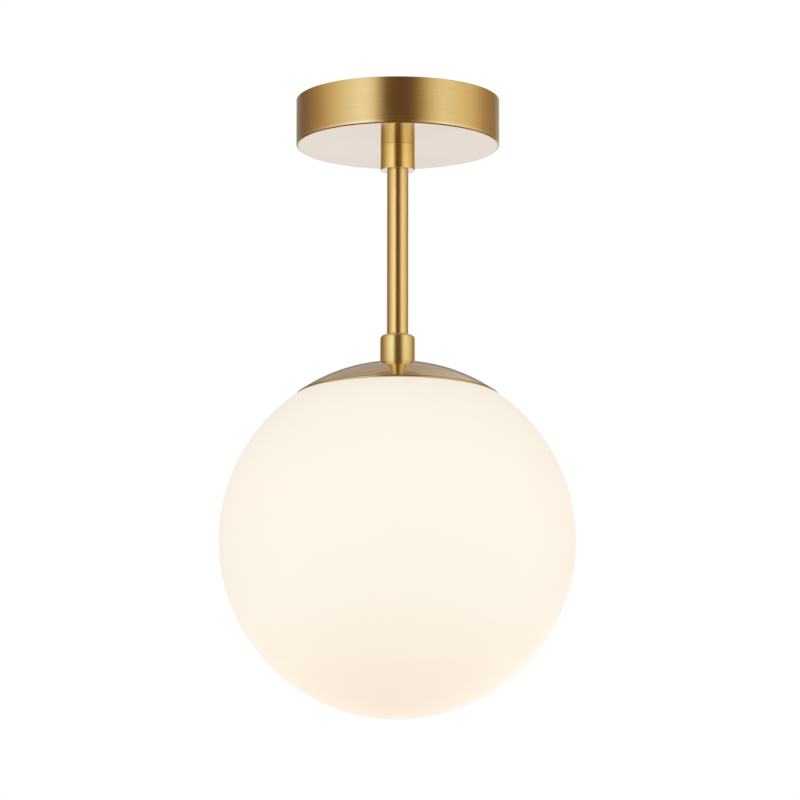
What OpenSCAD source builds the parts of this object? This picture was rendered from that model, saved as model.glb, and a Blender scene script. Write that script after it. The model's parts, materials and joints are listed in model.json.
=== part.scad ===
// Bathroom ceiling light: a brass canopy and stem that carry an opal glass globe.
// Origin at the centre of the ceiling plane, +Z up, so the light hangs below zero.
// All sizes are in millimetres.

/* [Canopy] */
// Outer diameter of the canopy
canopy_d = 114.4; // [112:0.2:130]
// Height of the canopy
canopy_h = 26.6; // [26:0.1:36]
// Sheet thickness of the canopy
canopy_sheet = 1; // [0.6:0.1:1.5]
// Inner bend radius of the canopy's lower edge
canopy_bend_r = 0.1; // [0.1:0.1:5]
// Width of the foam seal inside the upper rim
seal_w = 3; // [1.5:0.5:4]
// Thickness of the foam seal
seal_t = 3; // [1.5:0.5:5]

/* [Collars and stem] */
// Outer diameter of both collars
collar_d = 19.5; // [18:0.5:26]
// Length of the top collar
top_collar_len = 14.3; // [10:0.1:20]
// Length of stem that shows between the collars
stem_visible = 95.2; // [95:0.1:400]
// Outer diameter of the stem tube
stem_d = 12; // [11.5:0.1:12.4]
// Length of the bottom collar
bottom_collar_len = 16.8; // [15:0.1:22]
// Radius of the bottom collar's upper shoulder
shoulder_r = 2.2; // [1:0.1:3]
// Depth of the socket that takes the stem's lower end
socket_depth = 10; // [8:0.5:11]

/* [Nipples and nuts] */
// Outer diameter of the hollow threaded nipples
nipple_d = 10; // [9.6:0.1:10]
// Bore of the nipples
nipple_bore = 7; // [6:0.1:7.5]
// Width across the flats of the lock nuts
nut_af = 14; // [13:0.5:16]
// Thickness of the lock nuts
nut_t = 3; // [2:0.5:3.5]
// Outer diameter of the toothed washers
washer_d = 17; // [15:0.5:18]
// Thickness of the toothed washers
washer_t = 0.6; // [0.4:0.1:1]

/* [Mounting plate] */
// Clearance between the edge of the mounting plate and the foam seal
plate_clear = 3.1; // [2:0.1:4]
// Thickness of the plate's steel sheet
plate_t = 1.5; // [1:0.1:2]
// Depth of the pressed bridge below the ceiling
bridge_depth = 14; // [13:0.1:14]
// Width of the bridge
bridge_w = 20; // [18:0.5:22]
// Length of the bridge
bridge_len = 55; // [50:1:58]
// Distance between the centres of the two ceiling slots
slot_spacing = 80; // [76:1:82]
// Width of a ceiling slot
slot_w = 5; // [4:0.1:6]
// Overall length of a ceiling slot
slot_len = 12; // [8:0.5:14]
// Diameter of the cable entry in its grommet
cable_entry_d = 9; // [6:0.5:10]
// Width of plate left between the grommet's hole and the plate's edge
grommet_edge = 2.5; // [2:0.1:2.5]

/* [Terminal block] */
// Length of the terminal block
block_len = 28; // [27:0.5:30]
// Depth of the terminal block from front to back
block_depth = 16; // [15:0.5:17]
// Height of the terminal block
block_h = 12; // [11.5:0.1:13]
// Pitch of the poles
pole_pitch = 9; // [8.5:0.1:9.5]

/* [Leads] */
// Outer diameter of each insulated lead
lead_d = 2.2; // [1.8:0.1:2.4]
// Bend radius of the leads
lead_bend = 3; // [2.5:0.1:3]

/* [Dome and gallery] */
// Radius of the dome's spherical surface
dome_r = 97.1; // [96:0.1:98]
// Diameter over the dome's rolled rim
dome_rim_d = 114.4; // [112:0.2:116]
// Sheet thickness of the dome
dome_sheet = 1; // [0.8:0.1:1.2]
// Bead radius of the rolled rim
rim_bead_r = 0.6; // [0.5:0.05:0.8]
// Thickness of the silicone washer under the dome
dome_seal_t = 1; // [0.5:0.1:1.5]
// Sheet thickness of the gallery pan
pan_t = 1; // [0.8:0.1:1.2]

/* [Globe] */
// Diameter of the opal globe
globe_d = 200; // [199:0.5:202]
// Thickness of the glass
glass_t = 3; // [2:0.5:4]
// Outer diameter of the globe's threaded neck
neck_d = 71; // [70:0.5:72]
// Inner diameter of the neck
neck_bore = 64; // [63:0.5:65]
// Height of the neck above the globe's shoulder
neck_h = 8.7; // [8:0.1:8.8]
// Height of the dome's centre of curvature above the globe's centre
dome_offset = 4.1; // [3.9:0.1:4.5]
// Thickness of the silicone gasket on the shoulder
gasket_t = 2; // [1.5:0.1:2.4]
// Clearance between the top of the neck and the gallery pan
neck_gap = 0.7; // [0.4:0.1:1]

/* [Lampholder and lamp] */
// Outer diameter of the lampholder
holder_d = 38; // [37:0.5:42]
// Length of the lampholder's cap
holder_cap_len = 24; // [23:0.5:26]
// Length of the lampholder's body below its cap
holder_body_len = 28.8; // [28:0.1:30]
// Outer diameter of the lamp's screw shell
lamp_shell_d = 26.2; // [26:0.1:26.4]
// Greatest diameter of the lamp
lamp_d = 60; // [56:0.5:60]
// Length of the lamp's plastic housing
lamp_housing_len = 38.4; // [34:0.2:42]

/* [Hidden] */
$fn = 96;

// Clearances between mating pieces
thread_clear = 0.1;   // radial, between a threaded nipple and its hole
slide_clear = 0.08;   // radial, between the stem and what slides on it
bush_clear = 0.1;     // radial, round a bush or a grommet in its hole
glass_clear = 0.6;    // radial, between the neck and the gallery skirt
lamp_clear = 0.4;     // radial, between the lamp's shell and the holder's shell
lamp_gap = 0.1;       // between the lamp's button and the holder's contact
seat_gap = 0.05;      // on each side of the gasket, before the globe is screwed tight
far = 400;            // larger than the whole light, for cutting shapes
through = 1;          // how far a cutter runs past the face it cuts

// Small fixed sizes
tooth_n = 12;
tooth_gap = 1.2;
tooth_depth = 1.6;
screw_m3_r = 1.5;
screw_m4_r = 2;
driver_slot_w = 0.6;
driver_slot_depth = 0.8;
washer_bore_r = nipple_d/2 + thread_clear;

// Radii
canopy_r = canopy_d/2;
canopy_edge_r = canopy_bend_r + canopy_sheet;
collar_r = collar_d/2;
stem_r = stem_d/2;
nipple_r = nipple_d/2;
seal_out_r = canopy_r - canopy_sheet - bush_clear;
plate_r = seal_out_r - seal_w - plate_clear;
globe_r = globe_d/2;
rim_r = dome_rim_d/2;
neck_r = neck_d/2;
neck_bore_r = neck_bore/2;
holder_r = holder_d/2;
lamp_r = lamp_d/2;
lamp_shell_r = lamp_shell_d/2;
canopy_hole_r = stem_r + 1.5;

// Heights, worked downwards from the ceiling
bridge_top = -bridge_depth + plate_t;
upper_nut_z = bridge_top;
upper_washer_z = -bridge_depth - washer_t;
middle_nut_z = upper_washer_z - nut_t;
stem_top = middle_nut_z;
nipple_end = 1.5;     // length of the top nipple that stands clear of its nut
nipple_top = bridge_top + nut_t + nipple_end;
top_nipple_len = 21;
top_nipple_z = nipple_top - top_nipple_len;
canopy_z = -canopy_h;
top_collar_z = canopy_z - top_collar_len;
set_screw_z = (top_collar_z + canopy_z)/2;
bottom_collar_top = top_collar_z - stem_visible;
bottom_collar_z = bottom_collar_top - bottom_collar_len;
stem_bottom = bottom_collar_top - socket_depth;
tap_depth = 12.3;     // depth of the tapped ends of the stem
tap_r = nipple_r + thread_clear;
stem_bore_r = 4.5;

// Dome: a sheet cap with a small flat at its crown for the collar
flat_r = collar_r + 0.5;
dome_z = bottom_collar_z - sqrt(pow(dome_r, 2) - pow(flat_r, 2));
dome_in_r = dome_r - dome_sheet;
dome_under = bottom_collar_z - dome_sheet;
dome_seal_r = flat_r - 0.5;
bead_at_r = rim_r - rim_bead_r;
bead_z = dome_z + sqrt(pow(dome_r - dome_sheet/2, 2) - pow(bead_at_r, 2));
globe_z = dome_z - dome_offset;

// Globe: the shoulder lies just under the rolled rim
rim_gap = 0.35;
shoulder_z = bead_z - rim_bead_r - rim_gap;
shoulder_fillet = 1.5;
shoulder_h = shoulder_z - globe_z;
gasket_w = 4;
skirt_r = neck_r + glass_clear;
gasket_z = shoulder_z + seat_gap;
skirt_z = gasket_z + gasket_t + seat_gap;
lip_w = 3;

// Gallery stack: the pan clears the neck, and the spacer fills what is left under the dome
spacer_r = 9;
spacer_top = dome_under - dome_seal_t;
pan_under = shoulder_z + neck_h + neck_gap;
pan_top = pan_under + pan_t;
spacer_len = spacer_top - pan_top;
lower_washer_z = pan_under - washer_t;
lower_nut_z = lower_washer_z - nut_t;

// Lampholder and lamp
holder_top = lower_nut_z;
holder_boss_r = 8;
holder_boss_h = 7;
holder_wall = 2;
holder_cap_z = holder_top - holder_cap_len;
holder_body_z = holder_cap_z - holder_body_len;
spigot_h = 5;
spigot_r = holder_r - holder_wall - bush_clear;
nipple_in_holder = 9;
nipple_in_stem = 12;
bottom_nipple_z = holder_top - nipple_in_holder;
bottom_nipple_len = stem_bottom + nipple_in_stem - bottom_nipple_z;
shell_t = 0.5;
shell_in_r = lamp_shell_r + lamp_clear;
shell_sink = 1.6;
shell_top = holder_cap_z - shell_sink;
shell_len = 25;
insulator_t = 4.4;
rivet_r = 1.5;
terminal_z = shell_top + 2;
terminal_w = 6;
terminal_len = 8;
terminal_h = 6;
insulator_r = spigot_r - holder_wall - bush_clear;
contact_drop = 1.4;
lamp_top = shell_top - contact_drop - lamp_gap;
button_h = 1.8;
button_r = 4.8;
lamp_insulator_h = 3.2;
lamp_shell_top = lamp_top - button_h - lamp_insulator_h;
lamp_shell_len = 21;
lamp_shell_z = lamp_shell_top - lamp_shell_len;
lamp_shell_bevel = 1.2;
housing_z = lamp_shell_z - lamp_housing_len;
housing_wall = 1.6;
diffuser_wall = 1.5;
diffuser_edge_r = lamp_r - 0.6;
diffuser_z = housing_z - sqrt(pow(lamp_r, 2) - pow(diffuser_edge_r, 2));

// Terminal block under the plate, behind the bridge
block_y = 21.5;
block_z = -plate_t - block_h;
pole_x = [-pole_pitch, 0, pole_pitch];
pole_height = 6.4;
pole_z = block_z + pole_height;
insert_r = 2.2;
insert_bore_r = 1.5;
wire_screw_offset = 4.4;
wire_screw_recess = 1.4;
fixing_head_r = 2.7;
fixing_head_h = 1.8;
fixing_recess = 2;
block_front = block_y - block_depth/2;

// Earth stud on the plate
earth_x = -24;
earth_y = -24;
flange_t = 1;
earth_washer_t = 0.8;
tag_t = 0.8;
tag_r = 4;
earth_nut_t = 3;
earth_nut_af = 7;
stud_end = 2;
earth_washer_z = -plate_t - flange_t - earth_washer_t;
tag_z = earth_washer_z - tag_t;
stud_len = flange_t + earth_washer_t + tag_t + earth_nut_t + stud_end;
barrel_y = earth_y + tag_r + 1;
barrel_len = 5;
barrel_floor = 1.4;

// Cable entry behind the block
grommet_r = 8;
grommet_y = plate_r - grommet_edge - grommet_r;

// Leads: hand-chosen routes from the terminal block to where each one ends
bend_steps = 5;
lead_sides = 8;
lead_gap = 1.3;
lead_rise = -4.6;
holder_turn = holder_top - 12.2;
lead_end = holder_top - 19;
terminal_x = 8;
live_path = [[pole_pitch, block_front + 3, pole_z], [pole_pitch, 8.5, pole_z],
    [lead_gap, 5.2, lead_rise], [lead_gap, 0, lead_rise], [lead_gap, 0, holder_turn],
    [terminal_x, 0, holder_turn], [terminal_x, 0, lead_end]];
neutral_path = [[0, block_front + 3, pole_z], [0, 9.5, pole_z],
    [-lead_gap, 5.6, lead_rise], [-lead_gap, 0, lead_rise], [-lead_gap, 0, holder_turn],
    [-terminal_x, 0, holder_turn], [-terminal_x, 0, lead_end]];
earth_path = [[-pole_pitch, block_front + 3, pole_z], [-pole_pitch, 5, pole_z],
    [earth_x, barrel_y + barrel_len + 6, tag_z - lead_d/2],
    [earth_x, barrel_y + barrel_floor + thread_clear, tag_z - lead_d/2]];

// Unit vector along v
function unit(v) = v/norm(v);

// Any unit vector square to d
function square_to(d) = unit(cross(d, abs(d[2]) < 0.9 ? [0, 0, 1] : [1, 0, 0]));

// Length of each leg that the bend at point i of the route takes up
function turn_at(path, i) = i == 0 || i == len(path) - 1 ? 0
    : acos(unit(path[i] - path[i - 1])*unit(path[i + 1] - path[i]));
function trim_at(path, i) = lead_bend*tan(turn_at(path, i)/2);

// Points of the round bend at point i, or the route's own end point
function bend_points(path, i) = i == 0 || i == len(path) - 1 ? [path[i]]
    : let (d_in = unit(path[i] - path[i - 1]),
           d_out = unit(path[i + 1] - path[i]),
           inward = unit(d_out - d_in*(d_in*d_out)),
           centre = path[i] - d_in*trim_at(path, i) + inward*lead_bend)
      [for (k = [0:bend_steps]) let (a = turn_at(path, i)*k/bend_steps)
          centre - inward*lead_bend*cos(a) + d_in*lead_bend*sin(a)];
function smooth_route(path) = [for (i = [0:len(path) - 1]) each bend_points(path, i)];

// Direction of the route at each of its points, halfway between its two legs
function directions(pts) = [for (i = [0:len(pts) - 1])
    unit(unit(pts[min(i + 1, len(pts) - 1)] - pts[min(i, len(pts) - 2)])
        + unit(pts[max(i, 1)] - pts[max(i - 1, 0)]))];

// Side vectors that turn as little as they can from one point to the next
function side_vectors(dirs) = [for (i = 0, s = square_to(dirs[0]); i < len(dirs);
    i = i + 1, s = i < len(dirs) ? unit(s - dirs[i]*(s*dirs[i])) : s) s];

// Insulated lead, swept along its route
module lead(path) {
    pts = smooth_route(path);
    dirs = directions(pts);
    sides = side_vectors(dirs);
    n = lead_sides;
    rings = [for (i = [0:len(pts) - 1]) for (k = [0:n - 1])
        pts[i] + lead_d/2*(cos(k*360/n)*sides[i] + sin(k*360/n)*cross(dirs[i], sides[i]))];
    last = (len(pts) - 1)*n;
    walls = [for (i = [0:len(pts) - 2]) for (k = [0:n - 1]) let (m = (k + 1)%n)
        each [[i*n + k, (i + 1)*n + k, (i + 1)*n + m], [i*n + k, (i + 1)*n + m, i*n + m]]];
    polyhedron(rings, concat([[for (k = [0:n - 1]) k]], walls,
        [[for (k = [n - 1:-1:0]) last + k]]));
}

// Ring between two radii, standing on z
module ring(z, h, r_out, r_in) {
    translate([0, 0, z]) difference() {
        cylinder(h = h, r = r_out);
        translate([0, 0, -through]) cylinder(h = h + 2*through, r = r_in);
    }
}

// Half-plane shapes for the profiles that are turned round the Z axis
module right_box(z0, z1, r0, r1) {
    translate([r0, z0]) square([r1 - r0, z1 - z0]);
}

module hex_nut(z, af, h, bore_r) {
    translate([0, 0, z]) difference() {
        cylinder(h = h, d = af/cos(30), $fn = 6);
        translate([0, 0, -through]) cylinder(h = h + 2*through, r = bore_r);
    }
}

module star_washer(z) {
    difference() {
        ring(z, washer_t, washer_d/2, washer_bore_r);
        for (i = [0:tooth_n - 1]) {
            rotate(i*360/tooth_n) translate([washer_d/2 - tooth_depth, -tooth_gap/2, z - through])
                cube([tooth_depth + through, tooth_gap, washer_t + 2*through]);
        }
    }
}

// Section of the pressed bridge along its length
module bridge_section() {
    outer_len = bridge_len + 2*plate_t;
    translate([-outer_len/2, -bridge_depth]) square([outer_len, plate_t]);
    for (x = [-outer_len/2, bridge_len/2]) {
        translate([x, -bridge_depth]) square([plate_t, bridge_depth]);
    }
}

module mounting_plate() {
    slit = 0.6;       // gap that the press leaves on each side of the bridge
    color("gainsboro") difference() {
        union() {
            difference() {
                translate([0, 0, -plate_t]) cylinder(h = plate_t, r = plate_r);
                translate([-bridge_len/2, -bridge_w/2 - slit, -plate_t - through])
                    cube([bridge_len, bridge_w + 2*slit, plate_t + 2*through]);
            }
            translate([0, bridge_w/2, 0]) rotate([90, 0, 0]) linear_extrude(bridge_w) bridge_section();
        }
        translate([0, 0, -bridge_depth - through]) cylinder(h = plate_t + 2*through, r = washer_bore_r);
        translate([0, grommet_y, -plate_t - through]) cylinder(h = plate_t + 2*through, r = grommet_r);
        for (side = [-1, 1]) {
            translate([side*slot_spacing/2, 0, -plate_t - through]) ceiling_slot();
            translate([side*pole_pitch/2, block_y, -plate_t - through])
                cylinder(h = plate_t + 2*through, r = screw_m3_r + thread_clear);
        }
    }
}

module ceiling_slot() {
    run = slot_len/2 - slot_w/2;
    for (side = [-1, 1]) {
        translate([side*run, 0, 0]) cylinder(h = plate_t + 2*through, d = slot_w);
    }
    translate([-run, -slot_w/2, 0]) cube([2*run, slot_w, plate_t + 2*through]);
}

module lock_nuts() {
    color("goldenrod") {
        for (z = [upper_nut_z, middle_nut_z, lower_nut_z]) {
            hex_nut(z, nut_af, nut_t, washer_bore_r);
        }
    }
}

module star_washers() {
    color("silver") {
        for (z = [upper_washer_z, lower_washer_z]) {
            star_washer(z);
        }
    }
}

module cable_grommet() {
    flange_r = grommet_r + 1.5;
    flange_h = 1.6;
    edge = flange_h/2;
    color("dimgray") translate([0, grommet_y, 0]) rotate_extrude() {
        right_box(-plate_t, 0, cable_entry_d/2, grommet_r - bush_clear);
        right_box(-plate_t - flange_h, -plate_t, cable_entry_d/2, flange_r - edge);
        translate([flange_r - edge, -plate_t - edge]) circle(r = edge, $fn = 32);
    }
}

module terminal_body() {
    groove = 1.2;
    slope = 3;
    screw_room = 0.6;
    head_room = 0.2;
    color("white") difference() {
        translate([-block_len/2, block_y - block_depth/2, block_z]) cube([block_len, block_depth, block_h]);
        for (x = pole_x) {
            translate([x, block_y - far/2, pole_z]) rotate([-90, 0, 0])
                cylinder(h = far, r = insert_r + bush_clear);
            for (side = [-1, 1]) {
                translate([x, block_y + side*wire_screw_offset, block_z - through])
                    cylinder(h = pole_height + through, r = screw_m3_r + screw_room);
            }
        }
        for (side = [-1, 1]) {
            translate([side*pole_pitch/2, block_y, block_z - through]) {
                cylinder(h = block_h + 2*through, r = screw_m3_r + thread_clear);
                cylinder(h = fixing_recess + through, r = fixing_head_r + head_room);
            }
            translate([side*pole_pitch/2 - groove/2, block_y - far/2, block_z - through])
                cube([groove, far, groove + through]);
        }
        // sloped edges along the front and the back
        for (side = [-1, 1]) {
            translate([0, block_y + side*block_depth/2, block_z]) rotate([45, 0, 0])
                cube([block_len + 2*through, slope, slope], center = true);
        }
    }
}

module terminal_inserts() {
    inset = 1.5;
    insert_len = block_depth - 2*inset;
    color("gold") for (x = pole_x) {
        difference() {
            translate([x, block_y - insert_len/2, pole_z]) rotate([-90, 0, 0])
                cylinder(h = insert_len, r = insert_r);
            translate([x, block_y - insert_len/2 - through, pole_z]) rotate([-90, 0, 0])
                cylinder(h = insert_len + 2*through, r = insert_bore_r);
            for (side = [-1, 1]) {
                translate([x, block_y + side*wire_screw_offset, pole_z - insert_r - through])
                    cylinder(h = insert_r + through, r = screw_m3_r + thread_clear);
            }
        }
    }
}

// Straight slot for a screwdriver, cut upwards into a face at z = 0
module driver_slot(head_r) {
    translate([-head_r - through, -driver_slot_w/2, -through])
        cube([2*(head_r + through), driver_slot_w, driver_slot_depth + through]);
}

module terminal_screws() {
    screw_z = block_z + wire_screw_recess;
    tip_z = pole_z - insert_bore_r + 0.2;
    color("silver") for (x = pole_x) {
        for (side = [-1, 1]) {
            translate([x, block_y + side*wire_screw_offset, screw_z]) difference() {
                cylinder(h = tip_z - screw_z, r = screw_m3_r);
                driver_slot(screw_m3_r);
            }
        }
    }
}

module terminal_fixings() {
    head_z = block_z + fixing_recess - fixing_head_h;
    color("silver") for (side = [-1, 1]) {
        translate([side*pole_pitch/2, block_y, head_z]) difference() {
            union() {
                cylinder(h = fixing_head_h, r = fixing_head_r);
                cylinder(h = -head_z, r = screw_m3_r);
            }
            driver_slot(fixing_head_r);
        }
    }
}

module earth_stud() {
    head_r = 4.2;
    color("silver") translate([earth_x, earth_y, -plate_t]) {
        translate([0, 0, -flange_t]) cylinder(h = flange_t, r = head_r);
        translate([0, 0, -stud_len]) cylinder(h = stud_len - flange_t/2, r = screw_m4_r);
    }
}

module earth_washer() {
    color("silver") translate([earth_x, earth_y, 0])
        ring(earth_washer_z, earth_washer_t, tag_r, screw_m4_r + thread_clear);
}

module earth_tag() {
    strap_w = 3;
    barrel_wall = 0.6;
    barrel_clear = 0.05;
    color("gold") {
        translate([earth_x, earth_y, tag_z]) difference() {
            union() {
                cylinder(h = tag_t, r = tag_r);
                translate([-strap_w/2, 0, 0]) cube([strap_w, barrel_y - earth_y + barrel_wall, tag_t]);
            }
            translate([0, 0, -through]) cylinder(h = tag_t + 2*through, r = screw_m4_r + thread_clear);
        }
        translate([earth_x, barrel_y, tag_z - lead_d/2]) rotate([-90, 0, 0]) difference() {
            cylinder(h = barrel_len, r = lead_d/2 + barrel_wall);
            translate([0, 0, barrel_floor]) cylinder(h = barrel_len, r = lead_d/2 + barrel_clear);
        }
    }
}

module earth_nut() {
    color("silver") translate([earth_x, earth_y, 0])
        hex_nut(tag_z - earth_nut_t, earth_nut_af, earth_nut_t, screw_m4_r + thread_clear);
}

module live_lead() {
    color("saddlebrown") lead(live_path);
}

module neutral_lead() {
    color("royalblue") lead(neutral_path);
}

module earth_lead() {
    color("yellowgreen") lead(earth_path);
}

module nipple(z, h) {
    color("goldenrod") ring(z, h, nipple_r, nipple_bore/2);
}

module top_nipple() {
    nipple(top_nipple_z, top_nipple_len);
}

module stem_tube() {
    color("darkgoldenrod") rotate_extrude() difference() {
        right_box(stem_bottom, stem_top, stem_bore_r, stem_r);
        right_box(stem_top - tap_depth, stem_top + through, 0, tap_r);
        right_box(stem_bottom - through, stem_bottom + tap_depth, 0, tap_r);
    }
}

// Cup section: a wall, a rounded edge and a flat base, open at the ceiling
module cup_area(r, z, edge) {
    right_box(z + edge, through, 0, r);
    right_box(z, z + edge + through, 0, r - edge);
    translate([r - edge, z + edge]) circle(r = edge);
}

module canopy() {
    color("darkgoldenrod") rotate_extrude() difference() {
        cup_area(canopy_r, canopy_z, canopy_edge_r);
        cup_area(canopy_r - canopy_sheet, canopy_z + canopy_sheet, canopy_bend_r);
        right_box(0, far, 0, far);
        right_box(canopy_z - through, 0, -far, canopy_hole_r);
    }
}

module canopy_bush() {
    bore_r = stem_r + slide_clear;
    flange_r = stem_r + 4;
    flange_h = 1.2;
    flange_z = canopy_z + canopy_sheet;
    color("white") rotate_extrude() {
        right_box(canopy_z, flange_z + flange_h, bore_r, canopy_hole_r - bush_clear);
        right_box(flange_z, flange_z + flange_h, bore_r, flange_r);
    }
}

module rim_seal() {
    color("dimgray") ring(-seal_t, seal_t, seal_out_r, seal_out_r - seal_w);
}

module top_collar() {
    edge = 0.15;
    bore_r = stem_r + slide_clear;
    color("darkgoldenrod") difference() {
        rotate_extrude() {
            right_box(top_collar_z + edge, canopy_z, bore_r, collar_r);
            right_box(top_collar_z, canopy_z, bore_r, collar_r - edge);
            translate([collar_r - edge, top_collar_z + edge]) circle(r = edge, $fn = 32);
        }
        translate([0, 0, set_screw_z]) rotate([-90, 0, 0])
            cylinder(h = collar_r + through, r = screw_m4_r + thread_clear);
    }
}

module collar_set_screw() {
    tip_y = stem_r + slide_clear;
    sunk = 0.3;
    socket_af = 2;
    socket_h = 1.7;
    head_y = collar_r - sunk;
    color("dimgray") translate([0, 0, set_screw_z]) rotate([-90, 0, 0]) difference() {
        translate([0, 0, tip_y]) cylinder(h = head_y - tip_y, r = screw_m4_r);
        translate([0, 0, head_y - socket_h])
            cylinder(h = socket_h + through, d = socket_af/cos(30), $fn = 6);
    }
}

module bottom_collar() {
    foot_edge = 0.4;
    color("darkgoldenrod") rotate_extrude() difference() {
        union() {
            right_box(bottom_collar_z + foot_edge, bottom_collar_top - shoulder_r, 0, collar_r);
            right_box(bottom_collar_z, bottom_collar_top, 0, collar_r - shoulder_r);
            right_box(bottom_collar_z, bottom_collar_z + 2*foot_edge, 0, collar_r - foot_edge);
            translate([collar_r - shoulder_r, bottom_collar_top - shoulder_r]) circle(r = shoulder_r);
            translate([collar_r - foot_edge, bottom_collar_z + foot_edge]) circle(r = foot_edge, $fn = 32);
        }
        right_box(stem_bottom, bottom_collar_top + through, -far, stem_r + thread_clear);
        right_box(bottom_collar_z - through, stem_bottom + through, -far, tap_r);
    }
}

module bottom_nipple() {
    nipple(bottom_nipple_z, bottom_nipple_len);
}

// Spherical sheet with a flat crown, cut off above the rolled rim
module dome_cap() {
    color("rosybrown") rotate_extrude() {
        difference() {
            intersection() {
                translate([0, dome_z]) circle(r = dome_r, $fn = 256);
                right_box(bead_z, bottom_collar_z, tap_r, bead_at_r + rim_bead_r/2);
            }
            intersection() {
                translate([0, dome_z]) circle(r = dome_in_r, $fn = 256);
                right_box(-far, dome_under, -far, far);
            }
        }
        translate([bead_at_r, bead_z]) circle(r = rim_bead_r, $fn = 32);
    }
}

module dome_seal() {
    color("dimgray") ring(spacer_top, dome_seal_t, dome_seal_r, washer_bore_r);
}

module gallery_spacer() {
    color("silver") ring(pan_top, spacer_len, spacer_r, washer_bore_r);
}

// Section of a cup that opens downwards, with a rounded upper corner
module pan_area(r, top, corner) {
    right_box(skirt_z, top - corner, 0, r);
    right_box(skirt_z, top, 0, r - corner);
    translate([r - corner, top - corner]) circle(r = corner, $fn = 48);
}

module gallery_pan() {
    corner = 2;
    color("silver") rotate_extrude() difference() {
        union() {
            pan_area(skirt_r + pan_t, pan_top, corner);
            right_box(skirt_z, skirt_z + pan_t, 0, skirt_r + lip_w);
        }
        pan_area(skirt_r, pan_under, corner - pan_t);
        right_box(skirt_z - through, skirt_z + through, 0, skirt_r);
        right_box(-far, far, -far, washer_bore_r);
    }
}

module holder_cap() {
    bend_r = 6;
    crown_z = holder_top - holder_boss_h;
    bend_z = crown_z - bend_r;
    color("whitesmoke") rotate_extrude() difference() {
        union() {
            right_box(bend_z, holder_top, 0, holder_boss_r);
            right_box(holder_cap_z, bend_z, 0, holder_r);
            right_box(holder_cap_z, crown_z, 0, holder_r - bend_r);
            translate([holder_r - bend_r, bend_z]) circle(r = bend_r, $fn = 64);
        }
        right_box(-far, bend_z, -far, holder_r - holder_wall);
        right_box(-far, crown_z - holder_wall, -far, holder_r - bend_r);
        intersection() {
            translate([holder_r - bend_r, bend_z]) circle(r = bend_r - holder_wall, $fn = 64);
            right_box(bend_z - through, far, 0, far);
        }
        right_box(-far, far, -far, tap_r);
    }
}

module holder_body() {
    edge = 3;
    color("whitesmoke") rotate_extrude() difference() {
        union() {
            right_box(holder_body_z + edge, holder_cap_z, 0, holder_r);
            right_box(holder_body_z, holder_cap_z, 0, holder_r - edge);
            translate([holder_r - edge, holder_body_z + edge]) circle(r = edge, $fn = 48);
            right_box(holder_cap_z - through, holder_cap_z + spigot_h, 0, spigot_r);
        }
        right_box(-far, far, -far, shell_in_r + shell_t + bush_clear);
        right_box(shell_top, far, -far, insulator_r + bush_clear);
    }
}

module holder_insulator() {
    pocket_x = terminal_w + 2*bush_clear;
    pocket_y = terminal_len + 2*bush_clear;
    color("white") difference() {
        translate([0, 0, shell_top]) cylinder(h = insulator_t, r = insulator_r);
        translate([0, 0, shell_top - through])
            cylinder(h = insulator_t + 2*through, r = rivet_r + bush_clear);
        for (side = [-1, 1]) {
            translate([side*terminal_x - pocket_x/2, -pocket_y/2, terminal_z])
                cube([pocket_x, pocket_y, insulator_t]);
        }
    }
}

module holder_shell() {
    flange_in_r = 8;
    color("gold") rotate_extrude() {
        right_box(shell_top - shell_len, shell_top, shell_in_r, shell_in_r + shell_t);
        right_box(shell_top - shell_t, shell_top, flange_in_r, shell_in_r + shell_t);
    }
}

module holder_contact() {
    contact_r = 4;
    head_r = 2.6;
    head_h = 1;
    color("gold") {
        translate([0, 0, shell_top - contact_drop]) cylinder(h = contact_drop, r = contact_r);
        translate([0, 0, shell_top - contact_drop/2])
            cylinder(h = contact_drop/2 + insulator_t + head_h, r = rivet_r);
        translate([0, 0, shell_top + insulator_t]) cylinder(h = head_h, r = head_r);
    }
}

module holder_terminals() {
    hole_depth = 3;
    screw_r = 1.2;
    color("gold") for (side = [-1, 1]) {
        translate([side*terminal_x, 0, terminal_z]) difference() {
            translate([-terminal_w/2, -terminal_len/2, 0]) cube([terminal_w, terminal_len, terminal_h]);
            translate([0, 0, terminal_h - hole_depth])
                cylinder(h = hole_depth + through, r = lead_d/2 + thread_clear);
            translate([0, -far/2, terminal_h - hole_depth/2]) rotate([-90, 0, 0])
                cylinder(h = far/2, r = screw_r);
        }
    }
}

module glass_gasket() {
    color("whitesmoke") ring(gasket_z, gasket_t, skirt_r + gasket_w, skirt_r);
}

// Outline of the globe: a sphere with a rounded, flat shoulder and a straight neck
module globe_area() {
    round_z = shoulder_h - shoulder_fillet;
    round_r = sqrt(pow(globe_r - shoulder_fillet, 2) - pow(round_z, 2));
    intersection() {
        circle(r = globe_r, $fn = 256);
        union() {
            right_box(-far, shoulder_h, 0, round_r);
            polygon([[0, 0], [0, -far], [far, -far], [far, far*round_z/round_r]]);
        }
    }
    translate([round_r, round_z]) circle(r = shoulder_fillet, $fn = 48);
    right_box(shoulder_h - glass_t, shoulder_h + neck_h, 0, neck_r);
}

module globe_glass() {
    color("ivory") translate([0, 0, globe_z]) rotate_extrude() difference() {
        globe_area();
        intersection() {
            circle(r = globe_r - glass_t, $fn = 256);
            right_box(-far, shoulder_h - glass_t, -far, far);
        }
        right_box(0, far, -far, neck_bore_r);
        right_box(-far, far, -far, 0);
    }
}

module lamp_contact() {
    bevel_h = 1;
    bevel_w = 1.4;
    color("silver") {
        translate([0, 0, lamp_top - button_h]) cylinder(h = button_h - bevel_h, r = button_r);
        translate([0, 0, lamp_top - bevel_h]) cylinder(h = bevel_h, r1 = button_r, r2 = button_r - bevel_w);
    }
}

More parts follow.
